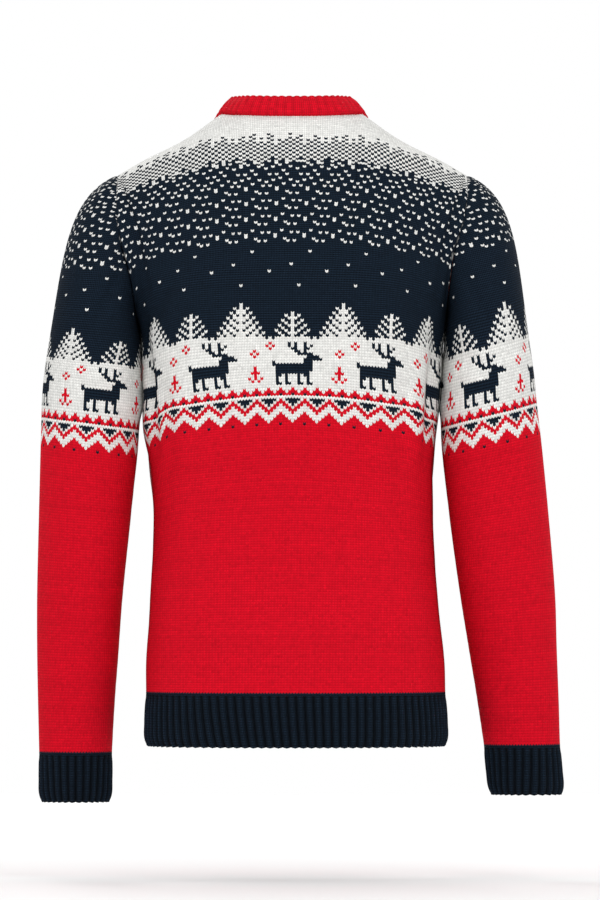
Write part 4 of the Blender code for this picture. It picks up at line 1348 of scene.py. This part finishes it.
# ---------------------------------------------------------------------------------------------
# Ribbed hem
# Two navy ribbed bands, back and front, knitted two plain and one purl with the hem curling in a
# little. Each is joined to its panel, and the two are sewn together at the sides.
# ---------------------------------------------------------------------------------------------

BandRow = namedtuple("BandRow", "along inset")
HEM_ROWS = rows_of(
    BandRow,
    (0.000, 0.0005),
    (0.030, -0.0005),
    (0.051, 0.0010),
    (0.057, 0.0050),
)
HEM_RIBS = 48
COLUMNS_PER_RIB = 12
BAND_ROWS = 20
RIB_ROW = 0.0027
RIB_ROUND = 0.62
# How gently the painted shade of a rib valley fades towards the crests of the ribs
VALLEY_ROUND = 0.6
# How much the dye varies from stitch to stitch of a band, and how its tones are dealt out
BAND_TONE = 0.06
BAND_TONES = 4096
TONES_PER_COLUMN = 67


def node_group(name, start, sizes):
    """Geometry nodes that take a mesh, some sizes and a yarn; gives the tree and its inputs."""
    tree = bpy.data.node_groups.new(name, "GeometryNodeTree")
    kinds = [(start, "Geometry"), *((size, "Float") for size in sizes), ("Yarn", "Material")]
    for title, kind in kinds:
        tree.interface.new_socket(title, in_out="INPUT", socket_type="NodeSocket" + kind)
    tree.interface.new_socket("Grown", in_out="OUTPUT", socket_type="NodeSocketGeometry")
    return tree, tree.nodes.new("NodeGroupInput").outputs


def hand_on(tree, grown, yarn):
    """Give what was grown its yarn, and end the tree with it."""
    done = wire(tree, "GeometryNodeSetMaterial", grown, None, yarn)
    tree.links.new(done, tree.nodes.new("NodeGroupOutput").inputs[0])
    return tree


def ribbing_tree():
    """Geometry nodes that raise the ribs of a band, out along its `facing` attribute."""
    tree, given = node_group("ribbing", "Band", ("Rib rise", "Groove depth", "Grooves"))
    rib = wire(tree, "GeometryNodeInputNamedAttribute", "rib", data_type="FLOAT")
    outer = wire(tree, "GeometryNodeInputNamedAttribute", "outer", data_type="FLOAT")
    facing = wire(tree, "GeometryNodeInputNamedAttribute", "facing", data_type="FLOAT_VECTOR")
    turn = maths(tree, "MULTIPLY", rib, 2 * math.pi)
    wave = maths(tree, "MULTIPLY", maths(tree, "SUBTRACT", 1.0, maths(tree, "COSINE", turn)), 0.5)
    ridge = maths(tree, "POWER", wave, RIB_ROUND)
    fine = maths(tree, "COSINE", maths(tree, "MULTIPLY", turn, given["Grooves"]))
    groove = maths(tree, "MULTIPLY", maths(tree, "MULTIPLY", fine, given["Groove depth"]), wave)
    height = maths(tree, "SUBTRACT", maths(tree, "MULTIPLY", ridge, given["Rib rise"]), groove)
    height = maths(tree, "MULTIPLY", height, outer)
    offset = wire(tree, "ShaderNodeVectorMath", facing, operation="SCALE")
    tree.links.new(height, offset.node.inputs["Scale"])
    moved = wire(tree, "GeometryNodeSetPosition", given["Band"], None, None, offset)
    return hand_on(tree, wire(tree, "GeometryNodeRealizeInstances", moved), given["Yarn"])


def grow(name, base, tree, sizes):
    """Run geometry nodes on a mesh with these named sizes, and keep the result as a plain mesh."""
    seed = put_in_scene(name + "_base", base)
    modifier = seed.modifiers.new("grow", "NODES")
    modifier.node_group = tree
    for socket in tree.interface.items_tree:
        if socket.in_out == "INPUT" and socket.name in sizes:
            modifier[socket.identifier] = sizes[socket.name]
    graph = bpy.context.evaluated_depsgraph_get()
    mesh = bpy.data.meshes.new_from_object(seed.evaluated_get(graph), depsgraph=graph)
    bpy.data.objects.remove(seed, do_unlink=True)
    mesh.name = name
    return put_in_scene(name, mesh)


def band_mesh(name, rows, facing, rib, raised, row_numbers, closed, seed, knit):
    """A band as a closed skin: rows run down the outside, round the free edge and up inside."""
    count, columns = rows.shape[:2]
    index = np.arange(count * columns).reshape(count, columns)
    quads = []
    for low, high in zip(index, np.roll(index, -1, axis=0)):
        for n in range(columns if closed else columns - 1):
            m = (n + 1) % columns
            quads.append((int(low[n]), int(high[n]), int(high[m]), int(low[m])))
    if not closed:
        for n, turned in ((0, False), (columns - 1, True)):
            for r in range(count // 2 - 1):
                other = count - 1 - r
                cap = (index[r, n], index[other, n], index[other - 1, n], index[r + 1, n])
                cap = tuple(int(v) for v in cap)
                quads.append(cap[::-1] if turned else cap)
    mesh = bpy.data.meshes.new(name)
    mesh.from_pydata(rows.reshape(-1, 3).tolist(), [], quads)
    for key, value in (("rib", rib), ("outer", raised[:, None])):
        mesh.attributes.new(key, "FLOAT", "POINT").data.foreach_set(
            "value", np.broadcast_to(value, (count, columns)).ravel().astype(np.float32))
    mesh.attributes.new("facing", "FLOAT_VECTOR", "POINT").data.foreach_set(
        "vector", facing.reshape(-1, 3).astype(np.float32).ravel())

    # Where a tube closes, its last stitches are counted on, not from the first again
    corners = np.array(quads)
    stitch = np.broadcast_to(rib, (count, columns)).ravel()[corners] * knit.stitches
    if closed:
        whole = round(float(np.ptp(rib)) + float(rib.ravel()[1] - rib.ravel()[0])) * knit.stitches
        wrapped = np.ptp(stitch, axis=1) > whole / 2
        stitch = np.where(wrapped[:, None] & (stitch < stitch.mean()), stitch + whole, stitch)
    line = np.broadcast_to(row_numbers[:, None], (count, columns)).ravel()[corners]

    tones = 1 + BAND_TONE * np.random.default_rng(seed).standard_normal(BAND_TONES)
    cell = (np.floor(stitch.mean(axis=1) + 0.5).astype(int) * TONES_PER_COLUMN
            + np.floor(line.mean(axis=1)).astype(int))
    # Painted shade: the yarn colour is darkened in the valleys between the ribs
    valley = (0.5 - 0.5 * np.cos(2 * math.pi * stitch / knit.stitches)) ** VALLEY_ROUND
    dark = 1 - knit.valley_dark * (1 - valley)
    shades = (YARNS[knit.yarn] * tones[cell % BAND_TONES][:, None])[:, None, :] * dark[:, :, None]
    mark_stitches(mesh, np.stack([stitch, line], axis=-1), shades)
    return mesh


RIBBING = ribbing_tree()
# The rows of a band crowd towards its free edge, which is folded this thick and rolls over there
ROW_CROWDING = 1.35
EDGE_FOLD = 0.0020
EDGE_ROLL, ROLL_STRENGTH = 0.0040, 0.7
SPRING_REACH = 0.008
# Ribs are lower next to a seam and just inside the fold, and lean more towards the free edge
LOW_RIB = 0.35
RIBS_RISEN = 0.16
ROWS_INSIDE_FOLD = 2
LEAN_GROWTH = 1.3


def hem_raised(share):
    """How far the ribs of a hem or cuff are raised, from the seam (0) to the free edge (1)."""
    return LOW_RIB + (1 - LOW_RIB) * ease(share, 0.0, RIBS_RISEN)


# How a band is knitted: its yarn and thickness, the stitches in a rib, how high the ribs are and
# how deep the grooves in them, how much painted shade darkens the valleys, how far the band
# springs in below its seam, which way its free edge rolls (-1 down), and how its ribs rise along
# it
Ribbing = namedtuple("Ribbing", "yarn wall stitches rise groove valley_dark spring roll raised")
NAVY_RIBBING = Ribbing(NAVY, WALL, 3, 0.0030, 0.0004, 0.80, 0.0016, -1.0, hem_raised)


def ribbed_band(name, point_at, marks, ribs, rib_lean, closed, seed, knit):
    """Knit a ribbed band; point_at(along, inset) gives a row of points and of outward ways."""
    length = marks[-1].along
    down = (length - EDGE_FOLD) * (1 - (1 - np.linspace(0, 1, BAND_ROWS)) ** ROW_CROWDING)
    inset = column(marks, "inset", down, "along") + knit.spring * ease(down, 0, SPRING_REACH)
    roll = ROLL_STRENGTH * ease(down, length - EDGE_ROLL, length)
    rows, ways, raised, numbers = [], [], [], []
    for n in range(BAND_ROWS):
        points, out = point_at(down[n], inset[n])
        rows.append(points)
        ways.append(unit(out + roll[n] * np.array([0, 0, knit.roll])))
        raised.append(float(knit.raised(down[n] / length)))
        numbers.append(down[n] / RIB_ROW)
    for n in reversed(range(BAND_ROWS)):
        points, out = point_at(down[n], inset[n] + knit.wall)
        rows.append(points)
        ways.append(out)
        raised.append(LOW_RIB if n >= BAND_ROWS - ROWS_INSIDE_FOLD else 0.0)
        numbers.append((2 * length - down[n]) / RIB_ROW)
    spans = ribs * COLUMNS_PER_RIB
    rib = np.arange(spans if closed else spans + 1) / COLUMNS_PER_RIB
    lean = np.interp(rib / ribs, np.linspace(0, 1, len(rib_lean)), rib_lean)
    both = np.concatenate([down, down[::-1]])[:, None] / length
    mesh = band_mesh(name, np.array(rows), np.array(ways), rib + lean * both ** LEAN_GROWTH,
                     np.array(raised), np.array(numbers), closed, seed, knit)
    piece = grow(name, mesh, RIBBING, {
        "Rib rise": knit.rise, "Groove depth": knit.groove, "Grooves": float(knit.stitches),
        "Yarn": KNIT[0]})
    piece.data.shade_smooth()
    return piece


def hem_row(side):
    """Rows of the hem, as wide as the body above it."""
    across = np.linspace(side, -side, HEM_RIBS * COLUMNS_PER_RIB + 1)

    def point_at(along, inset):
        z = HEM_SEAM_Z - along
        ring = torso_ring(side, across, max(z, BODY_SECTIONS[0].z))
        ring[:, 2] = z
        tangent = unit(np.gradient(ring, axis=0))
        out = np.stack([-tangent[:, 1], tangent[:, 0], np.zeros(len(across))], axis=-1)
        out *= np.sign(out[len(across) // 2, 1]) * side
        return ring - out * inset, out
    return point_at


HEM_LEAN = (0.0, -0.2, -0.5, -0.9, -0.7, -0.4, 0.0, 0.2, -0.1, -0.2, 0.0)
back_hem = ribbed_band("back_hem_rib_knit", hem_row(1), HEM_ROWS, HEM_RIBS, HEM_LEAN,
                       False, 21, NAVY_RIBBING)
front_hem = ribbed_band("front_hem_rib_knit", hem_row(-1), HEM_ROWS, HEM_RIBS, HEM_LEAN[::-1],
                        False, 22, NAVY_RIBBING)
for band, node in ((back_hem, "back_hem_rib"), (front_hem, "front_hem_rib")):
    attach(band, "root")
    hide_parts(node)


# ---------------------------------------------------------------------------------------------
# Cuffs
# Navy ribbed tubes, knitted like the hem and joined to the ends of the sleeves.
# ---------------------------------------------------------------------------------------------

CUFF_ROWS = rows_of(
    BandRow,
    (0.000, 0.0004),
    (0.026, -0.0004),
    (0.047, 0.0008),
    (0.0525, 0.0042),
)
CUFF_RIBS = 28
CUFF_LEAN = (0.0, 0.4, 0.7, 0.3, -0.2, -0.4, 0.0, 0.3, 0.0)


def cuff_row(hand):
    """Rows of a cuff, as wide as the sleeve above it."""
    share = np.arange(CUFF_RIBS * COLUMNS_PER_RIB) / (CUFF_RIBS * COLUMNS_PER_RIB)
    share = share[::-1] if hand > 0 else share

    def point_at(along, inset):
        ring = arm_ring(hand, share, CUFF_SEAM_Z[hand] - along)
        tangent = unit(np.roll(ring, -1, axis=0) - np.roll(ring, 1, axis=0))
        out = np.stack([tangent[:, 1], -tangent[:, 0], np.zeros(len(share))], axis=-1)
        out *= np.sign(np.sum(out * (ring - ring.mean(axis=0))))
        return ring - out * inset, out
    return point_at


for hand, name, node, seed in ((1, "left_cuff_knit", "left_cuff", 23),
                               (-1, "right_cuff_knit", "right_cuff", 24)):
    band = ribbed_band(name, cuff_row(hand), CUFF_ROWS, CUFF_RIBS, CUFF_LEAN, True, seed,
                       NAVY_RIBBING)
    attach(band, "root")
    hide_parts(node)


# ---------------------------------------------------------------------------------------------
# Neckband
# A red ribbed band, folded double, linked to the neckline all round. It rises from the seam and
# leans in over it, and the fold along its top shows the ends of the ribs.
# ---------------------------------------------------------------------------------------------

NECKBAND_ROWS = rows_of(
    BandRow,
    (0.0000, 0.0000),
    (0.0035, -0.0026),
    (0.0090, 0.0006),
    (0.0175, 0.0080),
    (0.0232, 0.0165),
)
NECKBAND_SIDE_RISE = 0.82
NECKBAND_LEAN = np.array([1.0, 1.35, 0.0])
NECK_CENTRE = np.array([0.0, -0.013, 0.0])
NECKBAND_RIBS = 60
BACK_NECK_PLACES, FRONT_NECK_PLACES = 121, 161
FACING_TURN = 0.009
# How far a row of the band faces upwards, at the seam and towards its fold
FACING_UP, FACING_UP_MORE = 0.25, 0.65
# Its ribs are low at the seam, a little higher further up, and stand out along the fold
SEAM_RIB = 0.22
MIDDLE_RIB, MIDDLE_START, MIDDLE_END = 0.08, 0.10, 0.50
FOLD_RIB, FOLD_START, FOLD_END = 0.70, 0.75, 0.97


def neckline(side, count):
    """The neck edge of a panel, from the wearer's right to the left, and its outward ways."""
    end = BACK_NECK_END if side > 0 else FRONT_NECK_END
    edge, way, _ = top_edge(side, np.linspace(-end, end, count) * JUST_INSIDE)
    facing = unit(np.cross(np.gradient(edge, axis=0), way))
    return edge, facing * np.sign(facing[count // 2, 1]) * side


def neckband_rows():
    """Rows of the neckband over the neckline of both panels."""
    (back_edge, back_way), (front_edge, front_way) = (
        neckline(1, BACK_NECK_PLACES), neckline(-1, FRONT_NECK_PLACES))
    ring = np.concatenate([back_edge, front_edge[::-1][1:-1], back_edge[:1]])[::-1]
    facing = np.concatenate([back_way, front_way[::-1][1:-1], back_way[:1]])[::-1]
    length = np.concatenate(([0], np.cumsum(np.linalg.norm(np.diff(ring, axis=0), axis=1))))
    columns = NECKBAND_RIBS * COLUMNS_PER_RIB
    place = np.arange(columns) / columns * length[-1]
    base = np.stack([np.interp(place, length, ring[:, k]) for k in range(3)], axis=-1)
    facing = unit(np.stack([np.interp(place, length, facing[:, k]) for k in range(3)], axis=-1))
    out = unit((base - NECK_CENTRE) * NECKBAND_LEAN)
    rise = 1 - (1 - NECKBAND_SIDE_RISE) * np.abs(out[:, 0]) ** 3

    def point_at(along, inset):
        deep = float(column(NECKBAND_ROWS, "inset", along, "along"))
        plain = base - out * deep
        plain[:, 2] += along * rise
        steep = deep / NECKBAND_ROWS[-1].inset
        turned = min(1.0, along / FACING_TURN)
        band = unit(out + np.array([0, 0, FACING_UP + FACING_UP_MORE * steep]))
        away = unit(facing * (1 - turned) + band * turned)
        return plain - away * (inset - deep), away
    return point_at


def neck_raised(share):
    """How far the ribs of the neckband are raised, most along its top fold."""
    return (SEAM_RIB + MIDDLE_RIB * ease(share, MIDDLE_START, MIDDLE_END)
            + FOLD_RIB * ease(share, FOLD_START, FOLD_END))


RED_RIBBING = Ribbing(RED, 0.0030, 2, 0.0015, 0.0004 / 3, 0.18, 0.0, 1.0, neck_raised)
neck = ribbed_band("neckband_knit", neckband_rows(), NECKBAND_ROWS, NECKBAND_RIBS, (0.0, 0.0),
                   True, 25, RED_RIBBING)
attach(neck, "root")
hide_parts("neckband")


# ---------------------------------------------------------------------------------------------
# Seams
# The pieces are linked edge to edge with yarn: round the armholes, over the shoulders, down the
# sides and under the arms. A cord of linked loops lies in each dip, with a stitch to every row.
# ---------------------------------------------------------------------------------------------

# How deep a seam lies, how dark it is, and the sides, rings and slant of its cord and its loops
SEAM_SINK = 0.0016
SEAM_SHADE = 0.8
CORD_SIDES = 8
LOOP_SIDES, LOOP_RINGS = 8, 6
LOOP_TILT = 32
YARN_SHADE, YARN_DARKEST = 0.5, 0.6
# The stitch of the chart that lies beside a seam, and how many places each seam is read at
SEAM_SEED = 31
SEAM_STITCH = 70
ARMHOLE_PLACES, SHOULDER_PLACES, SIDE_PLACES = 121, 41, 150
# How far the side and the underarm seams run on down the ribbed bands, and a row under the arm
DOWN_HEM, DOWN_CUFF = 0.054, 0.050
UNDERARM_ROW = 0.00285
# On the wearer's left, an armhole seam faces away from this place, and also outwards and upwards
SHOULDER_INSIDE = np.array([0.16, 0.0, -0.13])
OUT_AND_UP = np.array([0.6, 0.0, 0.5])
AWAY_SHARE = 8
SeamRun = namedtuple("SeamRun", "points outward shade")


def seam_tree():
    """Geometry nodes that lay a cord and a row of linked stitches along lines."""
    tree, given = node_group("linked seam", "Lines",
                             ("Cord radius", "Stitch length", "Stitch width", "Spacing"))
    curve = wire(tree, "GeometryNodeMeshToCurve", given["Lines"])
    outward = wire(tree, "GeometryNodeInputNamedAttribute", "outward", data_type="FLOAT_VECTOR")
    ring = tree.nodes.new("GeometryNodeCurvePrimitiveCircle")
    ring.inputs["Resolution"].default_value = CORD_SIDES
    tree.links.new(given["Cord radius"], ring.inputs["Radius"])
    cord = wire(tree, "GeometryNodeCurveToMesh", curve, ring.outputs["Curve"])
    tree.links.new(wire(tree, "FunctionNodeInputBool", boolean=True),
                   cord.node.inputs["Fill Caps"])
    dots = tree.nodes.new("GeometryNodeCurveToPoints")
    dots.mode = "LENGTH"
    tree.links.new(curve, dots.inputs["Curve"])
    tree.links.new(given["Spacing"], dots.inputs["Length"])
    along = wire(tree, "FunctionNodeAlignRotationToVector", None, None, dots.outputs["Tangent"],
                 axis="X")
    up = wire(tree, "FunctionNodeAlignRotationToVector", along, None, outward, axis="Z",
              pivot_axis="X")
    bead = tree.nodes.new("GeometryNodeMeshUVSphere")
    bead.inputs["Segments"].default_value = LOOP_SIDES
    bead.inputs["Rings"].default_value = LOOP_RINGS
    bead.inputs["Radius"].default_value = 0.5
    size = wire(tree, "ShaderNodeCombineXYZ", given["Stitch length"], given["Stitch width"],
                given["Stitch width"])
    tilt = wire(tree, "FunctionNodeRotateRotation", up, None)
    tilt.node.rotation_space = "LOCAL"
    tilt.node.inputs[1].default_value = (0, 0, math.radians(LOOP_TILT))
    placed = wire(tree, "GeometryNodeInstanceOnPoints", dots.outputs["Points"], None,
                  bead.outputs["Mesh"])
    tree.links.new(tilt, placed.node.inputs["Rotation"])
    tree.links.new(size, placed.node.inputs["Scale"])
    both = tree.nodes.new("GeometryNodeJoinGeometry")
    for part in (cord, placed):
        tree.links.new(part, both.inputs[0])
    real = wire(tree, "GeometryNodeRealizeInstances", both.outputs[0])
    return hand_on(tree, wire(tree, "GeometryNodeSetShadeSmooth", real), given["Yarn"])


def yarn_material():
    """Plain spun yarn, for the seams."""
    material, tree, shader, yarn, fibres = cloth_material("seam yarn", FINE_FIBRES)
    shade_yarn(tree, shader, yarn, scaled(tree, fibres, YARN_SHADE, YARN_DARKEST))
    return material


def seam_shades(chart, rows):
    """The colours of the knitting beside a seam, each averaged over three rows."""
    near = (rows[:, None] + np.arange(-1, 2)).astype(int)
    return chart(near, SEAM_STITCH).mean(axis=1)


def upright_run(chart, points, z, rows, seam_z, outward_x):
    """A seam up a side or under an arm, navy where it joins the ribbed band below seam_z."""
    points[:, 2] = z
    shade = seam_shades(chart, np.maximum(rows, 0))
    shade[z < seam_z] = YARNS[NAVY]
    return SeamRun(points, np.tile([outward_x, 0.0, 0.0], (len(z), 1)), shade)


def seam_runs():
    """Every seam as a run of points, with its outward ways and the shade of the cloth there."""
    runs = []
    chart = jumper_chart(PANEL_LINE, PANEL_STITCHES // 2, *PANEL_PHASES, SEAM_SEED)
    back_net = panel_cloth(1)
    numbers = panel_row_numbers(back_net)
    top_rows = numbers[int(np.searchsorted(back_net.up, 2.0))]
    for hand in (1.0, -1.0):
        # Round the armhole
        share = np.linspace(0.0, 1.0, ARMHOLE_PLACES)
        points, ways, _, _ = sleeve_seam(hand, share)
        outward = unit(np.cross(unit(np.gradient(points, axis=0)), ways))
        mirror = np.array([hand, 1.0, 1.0])
        away = OUT_AND_UP * mirror + AWAY_SHARE * (points - SHOULDER_INSIDE * mirror)
        outward *= np.sign(np.sum(outward * away, axis=1))[:, None]
        across = 1 - (1 - np.abs(2 * share - 1)) * (1 - SHOULDER_END)
        rows = np.interp(across, back_net.across[::-1], top_rows[::-1])
        runs.append(SeamRun(points, outward, seam_shades(chart, rows)))

        # Over the shoulder
        across = hand * np.linspace(BACK_NECK_END, SHOULDER_END, SHOULDER_PLACES)
        points, _, _ = top_edge(1, across * JUST_INSIDE)
        runs.append(SeamRun(points, np.tile([0.0, 0.0, 1.0], (SHOULDER_PLACES, 1)),
                            np.tile(YARNS[WHITE], (SHOULDER_PLACES, 1))))

        # Up the side, from near the edge of the hem
        z = np.linspace(HEM_SEAM_Z - DOWN_HEM, CHEST_Z, SIDE_PLACES)
        points = np.array([torso_ring(1, np.array([hand]), max(h, BODY_SECTIONS[0].z))[0]
                           for h in z])
        rows = np.interp(z, back_net.height[:, 0], numbers[:, 0])
        runs.append(upright_run(chart, points, z, rows, HEM_SEAM_Z, hand))

        # Under the arm, from near the edge of the cuff
        seam_z = CUFF_SEAM_Z[hand]
        z = np.linspace(seam_z - DOWN_CUFF, BICEP_Z, SIDE_PLACES)
        points = np.array([arm_ring(hand, np.array([0.0]), h)[0] for h in z])
        runs.append(upright_run(chart, points, z, (z - seam_z) / UNDERARM_ROW, seam_z, -hand))
    return runs


def seam_lines(runs):
    """The seams as a mesh of lines, sunk below the cloth, with their outward ways and shades."""
    points, edges, outward, shades = [], [], [], []
    for run in runs:
        first = len(points)
        points += (run.points - run.outward * SEAM_SINK).tolist()
        edges += [(first + n, first + n + 1) for n in range(len(run.points) - 1)]
        outward += run.outward.tolist()
        shades += (run.shade * SEAM_SHADE).tolist()
    mesh = bpy.data.meshes.new("seam_lines")
    mesh.from_pydata(points, edges, [])
    mesh.attributes.new("outward", "FLOAT_VECTOR", "POINT").data.foreach_set(
        "vector", np.array(outward, dtype=np.float32).ravel())
    mesh.attributes.new("yarn", "FLOAT_COLOR", "POINT").data.foreach_set(
        "color", np.array(shades, dtype=np.float32).ravel())
    return mesh


seams = grow("seams", seam_lines(seam_runs()), seam_tree(), {
    "Cord radius": 0.0012, "Stitch length": 0.0036, "Stitch width": 0.0021,
    "Spacing": 0.0030, "Yarn": yarn_material()})
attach(seams, "root")


# ---------------------------------------------------------------------------------------------
# Studio
# A plain pale floor under a pale sky, and soft light from large panels.
# ---------------------------------------------------------------------------------------------

FLOOR_Z = -0.82
FLOOR_REACH = 3.5
PAPER_WHITE = 0.84
PAPER_ROUGHNESS = 0.9
Light = namedtuple("Light", "name x y z across down power")
LIGHTS = rows_of(
    Light,
    ("key", -0.9, 3.0, 1.3, 1.2, 1.2, 25),
    ("fill", 1.5, 3.0, 0.2, 1.4, 1.8, 10),
    ("front key", 0.9, -3.0, 1.3, 1.2, 1.2, 25),
    ("front fill", -1.5, -3.0, 0.2, 1.4, 1.8, 10),
)
LIT_POINT = (0, 0, -0.35)
CAMERA_DISTANCE = 14.0
VIEW_X, VIEW_Z = -0.0086, -0.3553
VIEW_HEIGHT = 0.972
SENSOR = 24.0


def studio():
    """The floor, the lights and the camera."""
    mesh = bpy.data.meshes.new("floor")
    mesh.from_pydata([(x * FLOOR_REACH, y * FLOOR_REACH, FLOOR_Z)
                      for x, y in ((-1, -1), (1, -1), (1, 1), (-1, 1))], [], [(0, 1, 2, 3)])
    paper = bpy.data.materials.new("paper")
    paper.use_nodes = True
    shader = paper.node_tree.nodes["Principled BSDF"]
    shader.inputs["Base Color"].default_value = (PAPER_WHITE, PAPER_WHITE, PAPER_WHITE, 1)
    shader.inputs["Roughness"].default_value = PAPER_ROUGHNESS
    mesh.materials.append(paper)
    floor = put_in_scene("floor", mesh)

    for light in LIGHTS:
        lamp = bpy.data.lights.new(light.name, "AREA")
        lamp.shape = "RECTANGLE"
        lamp.size, lamp.size_y, lamp.energy = light.across, light.down, light.power
        holder = put_in_scene(light.name, lamp)
        holder.location = (light.x, light.y, light.z)
        toward = mathutils.Vector(LIT_POINT) - holder.location
        holder.rotation_euler = toward.to_track_quat("-Z", "Y").to_euler()

    world = bpy.data.worlds.new("studio")
    world.use_nodes = True
    world.node_tree.nodes["Background"].inputs["Color"].default_value = (1, 1, 1, 1)
    world.node_tree.nodes["Background"].inputs["Strength"].default_value = 1.0
    bpy.context.scene.world = world

    lens = bpy.data.cameras.new("camera")
    lens.sensor_fit = "VERTICAL"
    lens.sensor_height = SENSOR
    lens.lens = SENSOR * CAMERA_DISTANCE / VIEW_HEIGHT
    camera = put_in_scene("camera", lens)
    camera.location = (VIEW_X, CAMERA_DISTANCE, VIEW_Z)
    camera.rotation_euler = (math.radians(90), 0, math.radians(180))
    bpy.context.scene.camera = camera
    bpy.context.scene.view_settings.view_transform = "Standard"


studio()
